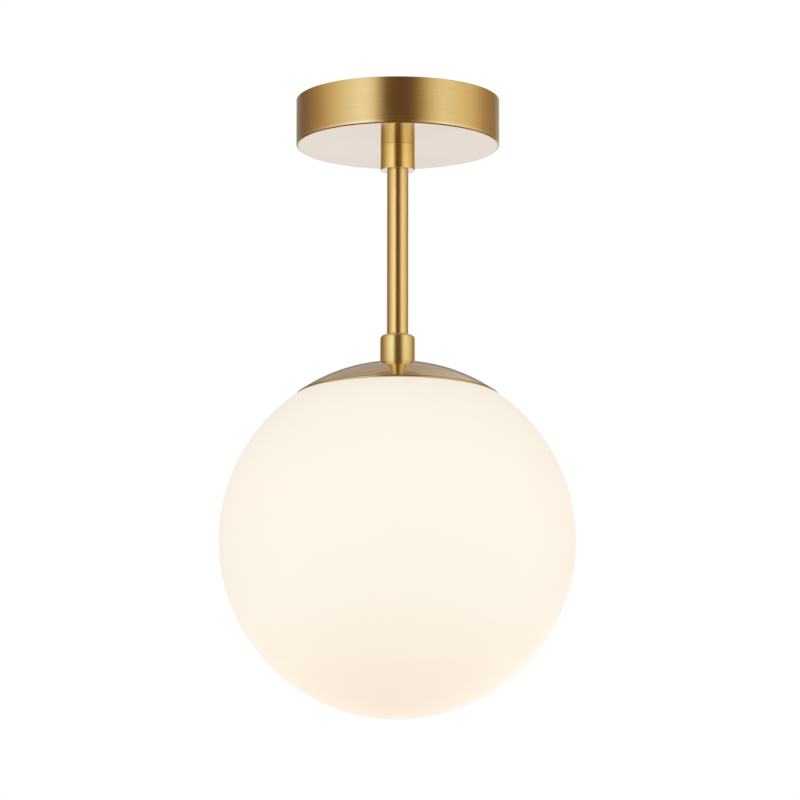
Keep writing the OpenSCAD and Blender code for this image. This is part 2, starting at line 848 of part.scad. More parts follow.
module lamp_insulator() {
    color("black") translate([0, 0, lamp_shell_top])
        cylinder(h = lamp_insulator_h, r1 = lamp_shell_r - lamp_shell_bevel, r2 = button_r + 1);
}

// Screw shell of the lamp: a straight sheet with a bevel and a lip at its top
module lamp_shell() {
    lip_w = 1.8;
    bevel_r = lamp_shell_r - lamp_shell_bevel;
    bevel_z = lamp_shell_top - lamp_shell_bevel;
    inner = shell_t*tan(22.5);
    color("silver") rotate_extrude() polygon([[lamp_shell_r - shell_t, lamp_shell_z],
        [lamp_shell_r, lamp_shell_z], [lamp_shell_r, bevel_z], [bevel_r, lamp_shell_top],
        [bevel_r - lip_w, lamp_shell_top], [bevel_r - lip_w, lamp_shell_top - shell_t],
        [bevel_r - inner, lamp_shell_top - shell_t], [lamp_shell_r - shell_t, bevel_z - inner]]);
}

// Housing of the lamp: a short collar, a widening cone and a straight rim
module lamp_housing() {
    top_r = lamp_shell_r + 0.9;
    floor_t = 2;
    collar_h = 5;
    collar_r2 = top_r + 1.5;
    rim_h = 3;
    rim_top = housing_z + rim_h;
    collar_bottom = lamp_shell_z - collar_h;
    color("white") rotate_extrude() difference() {
        polygon([[0, lamp_shell_z], [top_r, lamp_shell_z], [collar_r2, collar_bottom],
            [diffuser_edge_r, rim_top], [diffuser_edge_r, housing_z], [0, housing_z]]);
        polygon([[0, lamp_shell_z - floor_t], [top_r - housing_wall, lamp_shell_z - floor_t],
            [collar_r2 - housing_wall, collar_bottom], [diffuser_edge_r - housing_wall, rim_top],
            [diffuser_edge_r - housing_wall, housing_z - through], [0, housing_z - through]]);
    }
}

module lamp_diffuser() {
    color("ivory") translate([0, 0, diffuser_z]) rotate_extrude() difference() {
        circle(r = lamp_r, $fn = 128);
        circle(r = lamp_r - diffuser_wall, $fn = 128);
        right_box(housing_z - diffuser_z, far, -far, far);
        right_box(-far, far, -far, 0);
    }
}

mounting_plate();
lock_nuts();
star_washers();
cable_grommet();
terminal_body();
terminal_inserts();
terminal_screws();
terminal_fixings();
earth_stud();
earth_washer();
earth_tag();
earth_nut();
live_lead();
neutral_lead();
earth_lead();
top_nipple();
stem_tube();
canopy();
canopy_bush();
rim_seal();
top_collar();
collar_set_screw();
bottom_collar();
bottom_nipple();
dome_cap();
dome_seal();
gallery_spacer();
gallery_pan();
holder_cap();
holder_body();
holder_insulator();
holder_shell();
holder_contact();
holder_terminals();
glass_gasket();
globe_glass();
lamp_contact();
lamp_insulator();
lamp_shell();
lamp_housing();
lamp_diffuser();
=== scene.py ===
import json
import math

import bpy
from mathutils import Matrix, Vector

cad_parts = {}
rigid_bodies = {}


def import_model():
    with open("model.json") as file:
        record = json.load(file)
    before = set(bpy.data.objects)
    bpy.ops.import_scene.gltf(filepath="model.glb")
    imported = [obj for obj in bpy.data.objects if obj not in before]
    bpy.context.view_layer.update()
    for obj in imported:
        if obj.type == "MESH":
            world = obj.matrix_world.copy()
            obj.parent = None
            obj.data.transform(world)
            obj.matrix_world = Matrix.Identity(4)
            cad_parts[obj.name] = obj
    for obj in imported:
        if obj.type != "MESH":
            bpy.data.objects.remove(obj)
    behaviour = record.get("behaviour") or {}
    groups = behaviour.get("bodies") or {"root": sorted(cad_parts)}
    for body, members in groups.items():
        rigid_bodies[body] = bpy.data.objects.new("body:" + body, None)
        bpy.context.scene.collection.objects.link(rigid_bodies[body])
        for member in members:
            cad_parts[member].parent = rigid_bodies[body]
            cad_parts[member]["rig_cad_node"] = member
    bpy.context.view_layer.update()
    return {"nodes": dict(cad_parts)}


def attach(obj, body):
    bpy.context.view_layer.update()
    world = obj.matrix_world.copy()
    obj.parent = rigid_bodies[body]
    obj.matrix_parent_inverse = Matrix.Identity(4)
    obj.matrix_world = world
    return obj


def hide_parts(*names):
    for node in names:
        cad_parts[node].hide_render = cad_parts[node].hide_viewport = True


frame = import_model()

# Bathroom ceiling light. Sizes below are in millimetres, the scene is in metres.
mm = 0.001
nodes = frame["nodes"]


# Selecting and drawing

def clearPick():
    for ob in list(bpy.context.selected_objects):
        ob.select_set(False)


def pick(ob, *others):
    clearPick()
    for each in (ob,) + others:
        each.select_set(True)
    bpy.context.view_layer.objects.active = ob


def editing(on):
    bpy.ops.object.mode_set(mode="EDIT" if on else "OBJECT")


def pickAll():
    bpy.ops.mesh.select_all(action="SELECT")


def settle():
    # place, turn and size go into the mesh
    bpy.ops.object.transform_apply(location=True, rotation=True, scale=True)


def weld(reach=0.002):
    bpy.ops.mesh.remove_doubles(threshold=reach * mm)


def mend():
    # doubles are merged before the faces are turned outwards
    pickAll()
    weld()
    bpy.ops.mesh.normals_make_consistent(inside=False)


def applyAll(ob):
    pick(ob)
    for each in list(ob.modifiers):
        bpy.ops.object.modifier_apply(modifier=each.name)


def shifted(ob, x, y, z):
    # the mesh is moved and the origin stays
    editing(True)
    pickAll()
    bpy.ops.transform.translate(value=(x * mm, y * mm, z * mm))
    editing(False)
    return ob


def firstPoint(name):
    # one vertex to draw from, left in edit mode
    clearPick()
    bpy.ops.mesh.primitive_circle_add(vertices=3, radius=0.1 * mm, location=(0, 0, 0))
    ob = bpy.context.object
    ob.name = name
    editing(True)
    pickAll()
    bpy.ops.mesh.merge(type="CENTER")
    return ob


def drawSection(name, points, closed=True):
    # a section is drawn as by hand: one vertex, pulled out from point to point (x across, z up)
    ob = firstPoint(name)
    line = list(points) + ([points[0]] if closed else [])
    bpy.ops.transform.translate(value=(line[0][0] * mm, 0, line[0][1] * mm))
    for here, there in zip(line, line[1:]):
        step = ((there[0] - here[0]) * mm, 0, (there[1] - here[1]) * mm)
        bpy.ops.mesh.extrude_vertices_move(TRANSFORM_OT_translate={"value": step})
    editing(False)
    return ob


def turned(name, points, steps=160, closed=True):
    ob = drawSection(name, points, closed)
    editing(True)
    pickAll()
    bpy.ops.mesh.spin(steps=steps, angle=2 * math.pi, center=(0, 0, 0), axis=(0, 0, 1))
    mend()
    editing(False)
    return ob


def bend(x, z, radius, start, end, steps=8):
    # points of an arc in a section, from one angle to another in degrees
    turn = [math.radians(start + (end - start) * i / steps) for i in range(steps + 1)]
    return [(x + radius * math.cos(a), z + radius * math.sin(a)) for a in turn]


def edgedRing(inner, outer, low, high, edge):
    # section of a ring with its outer corners taken off
    return [(inner, low), (outer - edge, low), (outer, low + edge),
            (outer, high - edge), (outer - edge, high), (inner, high)]


def softRing(inner, outer, low, high, soft, steps=4):
    # section of a ring with all four corners round
    return (bend(outer - soft, high - soft, soft, 90, 0, steps)
            + bend(outer - soft, low + soft, soft, 0, -90, steps)
            + bend(inner + soft, low + soft, soft, -90, -180, steps)
            + bend(inner + soft, high - soft, soft, 180, 90, steps))


def finished(ob, body, paint, node, weighted=True):
    pick(ob)
    ob.name = ob.data.name = ob.name.split(".")[0]
    bpy.ops.object.shade_smooth_by_angle(angle=math.radians(30))
    if weighted:
        evener = ob.modifiers.new("even shading", "WEIGHTED_NORMAL")
        evener.keep_sharp = True
        bpy.ops.object.modifier_apply(modifier=evener.name)
    ob.data.materials.clear()
    ob.data.materials.append(paint)
    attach(ob, body)
    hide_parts(node)


# Shapes that several pieces share

def wound(name, profile, pitch, steps, repeats=1, sweep=1.0, closed=False):
    # a profile is drawn, wound up round the axis by a sweep in turns and repeated end to end
    ob = drawSection(name, profile, closed)
    winder = ob.modifiers.new("winder", "SCREW")
    winder.angle = 2 * math.pi * sweep
    winder.screw_offset = pitch * sweep * mm
    winder.iterations = repeats
    winder.steps = winder.render_steps = steps
    applyAll(ob)
    editing(True)
    pickAll()
    return ob


def windFrom(low, high, pitch):
    # the winding starts below the piece and ends above it, with no vertex in the cutting planes
    return low - pitch * 1.013, math.ceil((high - low) / pitch) + 3


def trimmed(low, high, reach):
    # what stands past the two heights is cut off flat
    for z, upper in ((low, False), (high, True)):
        pickAll()
        bpy.ops.mesh.bisect(plane_co=(0, 0, z * mm), plane_no=(0, 0, 1), threshold=reach,
                            clear_outer=upper, clear_inner=not upper)
    pickAll()


def threaded(name, size, low, high, steps=36):
    # one turn of the thread is drawn, wound up, cut off flat at both ends and bored
    root, crest, pitch = size["root"], size["crest"], size["pitch"]
    start, turns = windFrom(low, high, pitch)
    flanks = ((0, root), (0.12, root), (0.44, crest), (0.56, crest), (0.88, root), (1, root))
    ob = wound(name, [(r, start + pitch * share) for share, r in flanks], pitch, steps, turns)
    weld()
    trimmed(low, high, 1e-7)
    weld()
    bpy.ops.mesh.fill_holes(sides=0)
    mend()
    editing(False)
    if size["bore"]:
        cut(ob, rod("bore", size["bore"], low - 1, high + 1))
    return ob


def rolledShell(name, size, low, high, steps=72):
    # a round thread rolled in thin sheet
    crest, root, pitch = size["crest"], size["root"], size["pitch"]
    start, turns = windFrom(low, high, pitch)
    middle, swing, parts = (crest + root) / 2, (crest - root) / 2, 16
    wave = [(middle - swing * math.cos(2 * math.pi * i / parts), start + pitch * i / parts)
            for i in range(parts + 1)]
    ob = wound(name, wave, pitch, steps, turns)
    weld()
    trimmed(low, high, 1e-4)
    bpy.ops.mesh.normals_make_consistent(inside=False)
    editing(False)
    wall = ob.modifiers.new("sheet", "SOLIDIFY")
    wall.thickness = size["sheet"] * mm
    wall.offset = -1
    applyAll(ob)
    return ob


def rod(name, radius, low, high, sides=48, at=(0, 0), lying=None):
    # a plain round cutter or pin; lying="y" lays it along the Y axis
    clearPick()
    middle = (low + high) / 2 * mm
    if lying == "y":
        place, turn = (at[0] * mm, middle, at[1] * mm), (math.pi / 2, 0, 0)
    else:
        place, turn = (at[0] * mm, at[1] * mm, middle), (0, 0, 0)
    bpy.ops.mesh.primitive_cylinder_add(vertices=sides, radius=radius * mm, depth=(high - low) * mm,
                                        location=place, rotation=turn)
    ob = bpy.context.object
    ob.name = name
    settle()
    return ob


def bar(name, low, high):
    # a plain box cutter between two corners
    clearPick()
    size = [(b - a) * mm for a, b in zip(low, high)]
    middle = [(a + b) / 2 * mm for a, b in zip(low, high)]
    bpy.ops.mesh.primitive_cube_add(size=1, location=middle, scale=size)
    ob = bpy.context.object
    ob.name = name
    settle()
    return ob


def merged(first, *others):
    pick(first, *others)
    if others:
        bpy.ops.object.join()
    return first


def cut(ob, *cutters, keep="DIFFERENCE"):
    for each in cutters:
        knife = ob.modifiers.new("cut", "BOOLEAN")
        knife.operation = keep
        knife.solver = "EXACT"
        knife.object = each
        pick(ob)
        bpy.ops.object.modifier_apply(modifier=knife.name)
        pick(each)
        bpy.ops.object.delete()
    pick(ob)
    return ob


def softened(ob, width, segments=2, angle=35):
    edge = ob.modifiers.new("edges", "BEVEL")
    edge.width = width * mm
    edge.segments = segments
    edge.limit_method = "ANGLE"
    edge.angle_limit = math.radians(angle)
    edge.use_clamp_overlap = True
    applyAll(ob)
    return ob


def refined(node, name, width):
    # a copy of the construction's solid, welded, cleaned and given broken edges
    pick(nodes[node])
    bpy.ops.object.duplicate()
    ob = bpy.context.object
    ob.name = name
    del ob["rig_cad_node"]
    bpy.ops.object.parent_clear(type="CLEAR_KEEP_TRANSFORM")
    settle()
    editing(True)
    pickAll()
    weld(0.001)
    bpy.ops.mesh.dissolve_limited(angle_limit=math.radians(1.0))
    mend()
    editing(False)
    return softened(ob, width)


def copyUp(ob, rise):
    # another of the same, moved along the axis, with its own mesh
    pick(ob)
    bpy.ops.object.duplicate()
    twin = bpy.context.object
    bpy.ops.transform.translate(value=(0, 0, rise * mm))
    settle()
    return twin


def hexNut(name, size, at=(0, 0)):
    # a hexagon whose corners are taken off by a cone of 30 degrees from each side
    low, high = size["low"], size["high"]
    slope = math.tan(math.radians(30))
    corner = size["flats"] / 2 / math.cos(math.radians(30))
    inner = size["flats"] / 2 * size["face"]
    drop = (corner - inner) * slope
    # the cones run on past both faces of the nut, so no two faces lie in one plane
    past, clear = 1, 0.01
    tip = inner - past / slope
    nut = rod(name, corner, low, high, sides=6, at=at)
    lens = turned("lens", [(0, low - past), (tip, low - past), (corner + clear, low + drop),
                           (corner + clear, high - drop), (tip, high + past), (0, high + past)], 72)
    cut(nut, shifted(lens, *at, 0), keep="INTERSECT")
    return cut(nut, rod("bore", size["bore"], low - 1, high + 1, at=at))


# Shader maths

class Wire:
    def __init__(self, paint, socket):
        self.paint = paint
        self.socket = socket

    def maths(self, operation, *others, first=None):
        values = (first, self) if first is not None else (self,) + others
        sockets = dict(enumerate(values))
        return self.paint.node("Math", {"operation": operation}, sockets)

    def __add__(self, other): return self.maths("ADD", other)
    def __radd__(self, other): return self.maths("ADD", first=other)
    def __sub__(self, other): return self.maths("SUBTRACT", other)
    def __rsub__(self, other): return self.maths("SUBTRACT", first=other)
    def __mul__(self, other): return self.maths("MULTIPLY", other)
    def __rmul__(self, other): return self.maths("MULTIPLY", first=other)
    def __truediv__(self, other): return self.maths("DIVIDE", other)


class Paint:
    def __init__(self, name, tree=None):
        if tree is None:
            self.material = bpy.data.materials.new(name)
            self.material.use_nodes = True
            tree = self.material.node_tree
        self.tree = tree
        self.tree.nodes.clear()

    def node(self, kind, settings=None, sockets=None, output=0):
        made = self.tree.nodes.new("ShaderNode" + kind)
        for key, value in (settings or {}).items():
            if key == "stops":
                ramp = made.color_ramp
                while len(ramp.elements) > 1:
                    ramp.elements.remove(ramp.elements[-1])
                ramp.elements[0].position, ramp.elements[0].color = value[0][0], (*value[0][1], 1)
                for place, colour in value[1:]:
                    ramp.elements.new(place).color = (*colour, 1)
            else:
                setattr(made, key, value)
        for key, value in (sockets or {}).items():
            if isinstance(value, Wire):
                self.tree.links.new(value.socket, made.inputs[key])
            else:
                made.inputs[key].default_value = value
        return Wire(self, made.outputs[output]) if len(made.outputs) else made

    def spot(self):
        # Object coordinates
        return self.node("TexCoord", output=3)

    def place(self):
        # Object coordinates, together and apart
        spot = self.spot()
        parts = [self.node("SeparateXYZ", None, {0: spot}, i) for i in range(3)]
        return spot, *parts

    def joined(self, x, y, z):
        return self.node("CombineXYZ", None, {0: x, 1: y, 2: z})

    def noise(self, vector, scale=1, detail=2, rough=0.5):
        return self.node("TexNoise", None,
                         {"Vector": vector, "Scale": scale, "Detail": detail, "Roughness": rough})

    def rise(self, value, low, high, start=0.0, end=1.0):
        return self.node("MapRange", {"interpolation_type": "SMOOTHSTEP"},
                         {0: value, 1: low, 2: high, 3: start, 4: end})

    def between(self, value, span, start=0.0, end=1.0):
        # a soft step from one place to another, in millimetres
        return self.rise(value, span[0] * mm, span[1] * mm, start, end)

    def mixed(self, share, a, b):
        return self.node("Mix", {"data_type": "RGBA"}, {0: share, 6: a, 7: b}, 2)

    def ramp(self, value, stops):
        return self.node("ValToRGB", {"stops": stops}, {0: value})

    def relief(self, height, strength, depth):
        return self.node("Bump", None, {"Height": height, "Strength": strength, "Distance": depth})

    def surface(self, **sockets):
        named = {key.replace("_", " "): value for key, value in sockets.items()}
        body = self.node("BsdfPrincipled", None, named)
        self.node("OutputMaterial", None, {"Surface": body})
        return self.material


def rgba(colour):
    return (*colour, 1)


def shade(tone, share):
    # the same tone, darker or lighter
    return rgba([min(1, c * share) for c in tone])


# Camera

shot = {"place": (0, -5.872, -1.4322), "tilt": 102.103, "roll": -0.063, "yaw": -0.0272,
        "lens": 481.5, "sensor": 36, "reach": 100}
bpy.ops.object.camera_add(location=shot["place"])
camera = bpy.context.object
camera.rotation_euler = [math.radians(v) for v in (shot["tilt"], shot["roll"], shot["yaw"])]
camera.data.lens = shot["lens"]
camera.data.sensor_width = shot["sensor"]
camera.data.clip_end = shot["reach"]
bpy.context.scene.camera = camera
bpy.context.scene.view_settings.view_transform = "Standard"
print("camera set")


# Studio

studio = {"worldLight": 0.7, "floorZ": -7.0, "floorSize": 60, "paper": 0.93, "paperGlow": 0.6,
          "tentRadius": 3.5, "tentZ": -0.15, "shine": 1.05, "rightLift": 0.50, "warmth": 0.24,
          "lampAt": (1.5, -1.2, 0.5), "lampSize": 1.2, "lampPower": 6, "aimZ": -0.18}
# soft borders in the tent, in degrees away from the front or up from the horizon; right is a share of x
zones = {"rear": (135.0, 165.0), "beside": (10.0, 32.0), "under": (-36.0, -18.0), "below": (-16.0, 0.0),
         "over": (24.0, 50.0), "deep": (-50.0, -38.0), "right": (0.04, 0.24)}
tentTones = {"warm": (0.62, 0.27, 0.07), "white": (0.86, 0.84, 0.80), "dusk": (0.30, 0.22, 0.15),
             "ember": (0.28, 0.15, 0.05)}

# Colours that polished and brushed metal see round the light, by angle from the camera's side
aroundStops = [
    (-180, (0.30, 0.26, 0.24)), (-158, (0.22, 0.18, 0.16)), (-141, (0.15, 0.11, 0.09)),
    (-124, (0.24, 0.15, 0.08)), (-100, (0.45, 0.30, 0.16)), (-90, (0.60, 0.44, 0.26)),
    (-72, (0.86, 0.73, 0.50)), (-56, (1.05, 1.00, 0.86)), (-41, (1.27, 1.25, 1.20)),
    (-33, (1.25, 1.21, 1.13)), (-26, (1.02, 0.93, 0.72)), (-19, (0.42, 0.28, 0.11)),
    (-14, (0.09, 0.038, 0.008)), (-6, (0.042, 0.011, 0.002)), (7, (0.030, 0.007, 0.001)),
    (15, (0.035, 0.014, 0.002)), (21, (0.17, 0.088, 0.028)), (28, (0.47, 0.31, 0.13)),
    (35, (0.76, 0.61, 0.36)), (42, (0.97, 0.86, 0.64)), (53, (1.11, 1.04, 0.88)),
    (73, (0.95, 0.82, 0.58)), (91, (0.81, 0.66, 0.42)), (102, (0.65, 0.49, 0.28)),
    (113, (0.46, 0.31, 0.16)), (141, (0.26, 0.17, 0.11)), (147, (0.14, 0.09, 0.05)),
    (153, (0.30, 0.24, 0.20)), (180, (0.40, 0.35, 0.32)),
]
# ... and behind the light, by height above the horizon
behindStops = [
    (-90, (0.36, 0.28, 0.26)), (-48, (0.44, 0.38, 0.40)), (-26, (0.95, 0.95, 0.95)),
    (-6, (0.93, 0.93, 0.94)), (2, (0.30, 0.26, 0.24)),
    (22, (0.26, 0.22, 0.21)), (33, (0.42, 0.39, 0.43)), (38, (0.40, 0.35, 0.37)),
    (60, (0.42, 0.36, 0.38)), (90, (0.50, 0.48, 0.47)),
]


def buildStudio():
    scene = bpy.context.scene
    world = bpy.data.worlds.new("studio")
    world.use_nodes = True
    scene.world = world
    sky = Paint("studio", world.node_tree)
    ray = [sky.node("LightPath", None, None, name)
           for name in ("Is Camera Ray", "Is Glossy Ray", "Is Transmission Ray")]
    seen = ray[0].maths("MAXIMUM", ray[1]).maths("MAXIMUM", ray[2])
    strength = seen * (1 - studio["worldLight"]) + studio["worldLight"]
    back = sky.node("Background", None, {"Color": (1, 1, 1, 1), "Strength": strength})
    sky.node("OutputWorld", None, {"Surface": back})

    clearPick()
    bpy.ops.mesh.primitive_plane_add(size=studio["floorSize"], location=(0, 0, studio["floorZ"]))
    floor = bpy.context.object
    floor.name = "floor"
    sheet = Paint("floor paper")
    seenFloor = sheet.node("LightPath", None, None, "Is Camera Ray")
    lit = sheet.node("BsdfDiffuse", None, {"Color": rgba([studio["paper"]] * 3)})
    glow = sheet.node("Emission", None, {"Color": (1, 1, 1, 1), "Strength": 1.0})
    both = sheet.node("MixShader", None, {0: seenFloor * studio["paperGlow"], 1: lit, 2: glow})
    sheet.node("OutputMaterial", None, {"Surface": both})
    floor.data.materials.append(sheet.material)
    floor.visible_glossy = False

    # A round tent of cloth that only shiny surfaces see
    bpy.ops.mesh.primitive_uv_sphere_add(segments=64, ring_count=32, radius=studio["tentRadius"],
                                         location=(0, 0, studio["tentZ"]))
    tent = bpy.context.object
    tent.name = "tent"
    cloth = Paint("tent cloth")
    x, y, z = cloth.place()[1:]
    around = x.maths("ARCTAN2", y * -1) / (2 * math.pi) + 0.5
    height = (z / studio["tentRadius"]).maths("ARCSINE") / math.pi + 0.5
    sideways = cloth.ramp(around, [((a + 180) / 360, c) for a, c in aroundStops])
    upwards = cloth.ramp(height, [((a + 90) / 180, c) for a, c in behindStops])
    away = (around - 0.5).maths("ABSOLUTE") * 360
    level = height * 180 - 90
    rear = cloth.rise(away, *zones["rear"])
    beside = cloth.rise(away, *zones["beside"])
    under, below, deep = [cloth.rise(level, *zones[key], 1.0, 0.0) for key in ("under", "below", "deep")]
    warm, white, dusk, ember = [rgba(tentTones[key]) for key in ("warm", "white", "dusk", "ember")]
    front = cloth.mixed(below * (1 - beside) * studio["warmth"], sideways, warm)
    front = cloth.mixed(under * beside, front, white)
    front = cloth.mixed(cloth.rise(level, *zones["over"]), front, dusk)
    front = cloth.mixed(deep, front, ember)
    colour = cloth.mixed(rear, front, upwards)
    lift = cloth.rise(x / studio["tentRadius"], *zones["right"]) * rear * studio["rightLift"]
    shine = cloth.node("Emission", None, {"Color": colour, "Strength": lift + studio["shine"]})
    cloth.node("OutputMaterial", None, {"Surface": shine})
    cloth.material.cycles.emission_sampling = "NONE"
    tent.data.materials.append(cloth.material)
    tent.visible_camera = False
    tent.visible_diffuse = False
    tent.visible_shadow = False
    tent.visible_transmission = False

    for name, side in (("lamp left", -1), ("lamp right", 1)):
        place = Vector(studio["lampAt"])
        place.x *= side
        bpy.ops.object.light_add(type="AREA", location=place)
        light = bpy.context.object
        light.name = name
        light.data.energy = studio["lampPower"]
        light.data.size = studio["lampSize"]
        light.visible_glossy = False
        aim = Vector((0, 0, studio["aimZ"])) - place
        light.rotation_euler = aim.to_track_quat("-Z", "Y").to_euler()


buildStudio()
print("studio built")


# Finishes of the pieces that show

brassTone = (0.88, 0.70, 0.36)


def brushLines(paint, place, along, across, detail=3):
    # fine lines run round the piece: long features along, short ones across
    x, y, z = place
    return paint.noise(paint.joined(x * along, y * along, z * across), 1, detail, 0.6)


def brushed(paint, colour, rough, lines):
    return paint.surface(Base_Color=colour, Metallic=1.0, Roughness=rough, Anisotropic=0.95,
                         Anisotropic_Rotation=0.25, Normal=paint.relief(lines, 0.25, 0.004 * mm))


def buildStemPaint():
    tone = (0.98, 0.78, 0.41)
    paint = Paint("stem brass")
    spot, *place = paint.place()
    lines = brushLines(paint, place, 300, 7000)
    worn = lines * 0.7 + paint.noise(spot, 40, 2) * 0.3
    colour = paint.mixed(worn, shade(tone, 0.95), shade(tone, 1.05))
    return brushed(paint, colour, lines * 0.12 + 0.31, lines)


# where the underside is polished, and where the painted highlight band and the painted dark reflection line
# lie
canopyFinish = {"polish": (-26.0, -25.6), "paintedHighlight": (-25.2, -24.2), "rim": (56.15, 56.35),
                "line": (-26.15, -25.85)}


def buildCanopyPaint():
    # brushed round its side, polished underneath, with painted light on the lower edge
    paint, f = Paint("canopy brass"), canopyFinish
    spot, x, y, z = paint.place()
    lines = brushLines(paint, (x, y, z), 60, 5200)
    streaks = brushLines(paint, (x, y, z), 25, 1300, 2)
    worn = lines * 0.35 + streaks * 0.45 + paint.noise(spot, 40, 2) * 0.2
    side = paint.mixed(worn, shade(brassTone, 0.76), shade(brassTone, 1.13))
    # a painted highlight band just over the lower edge, and a painted dark reflection line on it
    side = paint.mixed(paint.between(z, f["paintedHighlight"], 1.0, 0.0) * 0.8, side, rgba((1.0, 0.86, 0.54)))
    swirl = paint.noise(spot, 55, 3)
    under = paint.mixed(swirl, rgba((0.720, 0.615, 0.520)), rgba((0.757, 0.648, 0.543)))
    polished = paint.between(z, f["polish"], 1.0, 0.0)
    away = (x * x + y * y).maths("SQRT")
    # the painted dark reflection line round the lower edge
    line = paint.between(away, f["rim"]) * paint.between(z, f["line"], 1.0, 0.0)
    colour = paint.mixed(line, paint.mixed(polished, side, under), rgba((0.36, 0.20, 0.06)))
    rough = paint.between(z, f["polish"], 0.05, 0.31) + lines * 0.10
    return brushed(paint, colour, rough, lines * (1 - polished))


def buildCollarPaint(name, endZ, tone, rough):
    # brushed like the stem, with a polished flat end
    paint = Paint(name)
    spot, *place = paint.place()
    lines = brushLines(paint, place, 180, 6000)
    cloud = paint.noise(spot, 60, 2)
    polished = paint.between(place[2], (endZ + 0.08, endZ + 0.14), 1.0, 0.0)
    side = paint.mixed(lines * 0.7 + cloud * 0.3, shade(tone, 0.90), shade(tone, 1.09))
    end = paint.mixed(cloud, rgba((0.69, 0.61, 0.56)), rgba((0.73, 0.65, 0.59)))
    sheen = paint.mixed(polished, lines * 0.12 + rough, cloud * 0.05 + 0.08)
    return brushed(paint, paint.mixed(polished, side, end), sheen, lines * (1 - polished))


def buildDomePaint():
    paint = Paint("dome brass")
    spot, x, y = paint.place()[:3]
    cloud = paint.noise(spot, 60, 3)
    tone = paint.mixed(cloud, shade(brassTone, 0.97), shade(brassTone, 1.03))
    # the rim bead gets a darker copy of the brass: a painted shade line
    rim = paint.between((x * x + y * y).maths("SQRT"), (56.3, 56.7))
    tone = paint.mixed(rim, tone, shade(brassTone, 0.68))
    return paint.surface(Base_Color=tone, Metallic=1.0, Roughness=cloud * 0.04 + 0.05)


# the painted glow of the lamp inside, by height in the ball: brightest in the middle, warmer towards both
# ends
opal = {"foot": -353.56, "crown": -172.1,
        "glow": [(0.0, (0.60, 0.47, 0.36)), (0.13, (0.61, 0.515, 0.40)), (0.27, (0.59, 0.53, 0.43)),
                 (0.44, (0.57, 0.515, 0.43)), (0.64, (0.565, 0.505, 0.42)), (0.90, (0.52, 0.47, 0.39)),
                 (0.97, (0.50, 0.45, 0.37)), (1.0, (0.48, 0.43, 0.35))]}


def buildOpalPaint():
    paint = Paint("opal glass")
    spot, _, _, z = paint.place()
    foot, crown = opal["foot"] * mm, opal["crown"] * mm
    height = paint.node("MapRange", None, {0: z, 1: foot, 2: crown, 3: 0.0, 4: 1.0})
    cloud = paint.noise(spot, 18, 2)
    base = paint.mixed(cloud, rgba((0.50, 0.485, 0.46)), rgba((0.53, 0.515, 0.49)))
    return paint.surface(Base_Color=base, Roughness=cloud * 0.05 + 0.42, Specular_IOR_Level=0.22,
                         Emission_Color=paint.ramp(height, opal["glow"]), Emission_Strength=1.0)


# Pieces that show

canopy = {"radius": 57.2, "bottom": -26.6, "sheet": 1.0, "edge": 1.1, "rim": 0.3, "hole": 7.5}


def buildCanopy():
    c, soft = canopy, canopy["rim"]
    inner = c["radius"] - c["sheet"]
    centre = (c["radius"] - c["edge"], c["bottom"] + c["edge"])
    section = [(c["hole"], c["bottom"])] + bend(*centre, c["edge"], -90, 0, 20)
    section += [(c["radius"], -soft)] + bend(c["radius"] - soft, -soft, soft, 0, 90, 4)
    section += bend(inner + soft, -soft, soft, 90, 180, 4)
    section += bend(*centre, c["edge"] - c["sheet"], 0, -90, 12)
    section += [(c["hole"], c["bottom"] + c["sheet"])]
    return turned("canopy_shell", section, 240)


stem = {"radius": 6.0, "top": -17.6, "bottom": -146.1, "bore": 4.5, "tap": 5.1, "tapDepth": 12.3,
        "edge": 0.3, "cone": 0.6}


def buildStem():
    s, edge = stem, stem["edge"]
    low, high, deep, tap, out = s["bottom"], s["top"], s["tapDepth"], s["tap"], s["radius"]
    bore, cone = s["bore"], s["cone"]
    section = [(bore, low + deep), (tap, low + deep - cone), (tap, low + edge), (tap + edge, low)]
    section += [(out - edge, low), (out, low + edge), (out, high - edge), (out - edge, high)]
    section += [(tap + edge, high), (tap, high - edge), (tap, high - deep + cone), (bore, high - deep)]
    return turned("stem_tube_brushed", section, 128)


collars = {"radius": 9.75, "topHigh": -26.6, "topLow": -40.9, "topBore": 6.08, "topEdge": 0.15,
           "boreEdge": 0.2, "screwHole": 2.1, "screwZ": -33.75, "screwDeep": 3,
           "footHigh": -136.1, "footLow": -152.9, "shoulder": 2.2, "footEdge": 0.4,
           "socket": 6.1, "socketEdge": 0.15, "nippleHole": 5.1}


def buildTopCollar():
    c = collars
    out, bore, low, high, edge = c["radius"], c["topBore"], c["topLow"], c["topHigh"], c["topEdge"]
    section = [(bore, high), (bore, low + c["boreEdge"]), (bore + c["boreEdge"], low)]
    section += bend(out - edge, low + edge, edge, -90, 0, 6) + [(out, high - edge), (out - edge, high)]
    hole = rod("screw hole", c["screwHole"], c["screwDeep"], out + 3, at=(0, c["screwZ"]), lying="y")
    return cut(turned("top_collar_turned", section, 160), hole)


def buildFootCollar():
    c, seat = collars, stem["bottom"]
    out, low, high, edge, shoulder = c["radius"], c["footLow"], c["footHigh"], c["footEdge"], c["shoulder"]
    section = bend(out - edge, low + edge, edge, -90, 0, 6)
    section += bend(out - shoulder, high - shoulder, shoulder, 0, 90, 14)
    section += [(c["socket"] + c["socketEdge"], high), (c["socket"], high - c["socketEdge"])]
    section += [(c["socket"], seat), (c["nippleHole"], seat), (c["nippleHole"], low)]
    return turned("bottom_collar_turned", section, 160)


dome = {"radius": 97.1, "centre": -249.457, "sheet": 1.0, "crown": -152.9, "flat": 10.25,
        "rim": 57.2, "bead": 0.6, "hole": 5.1}


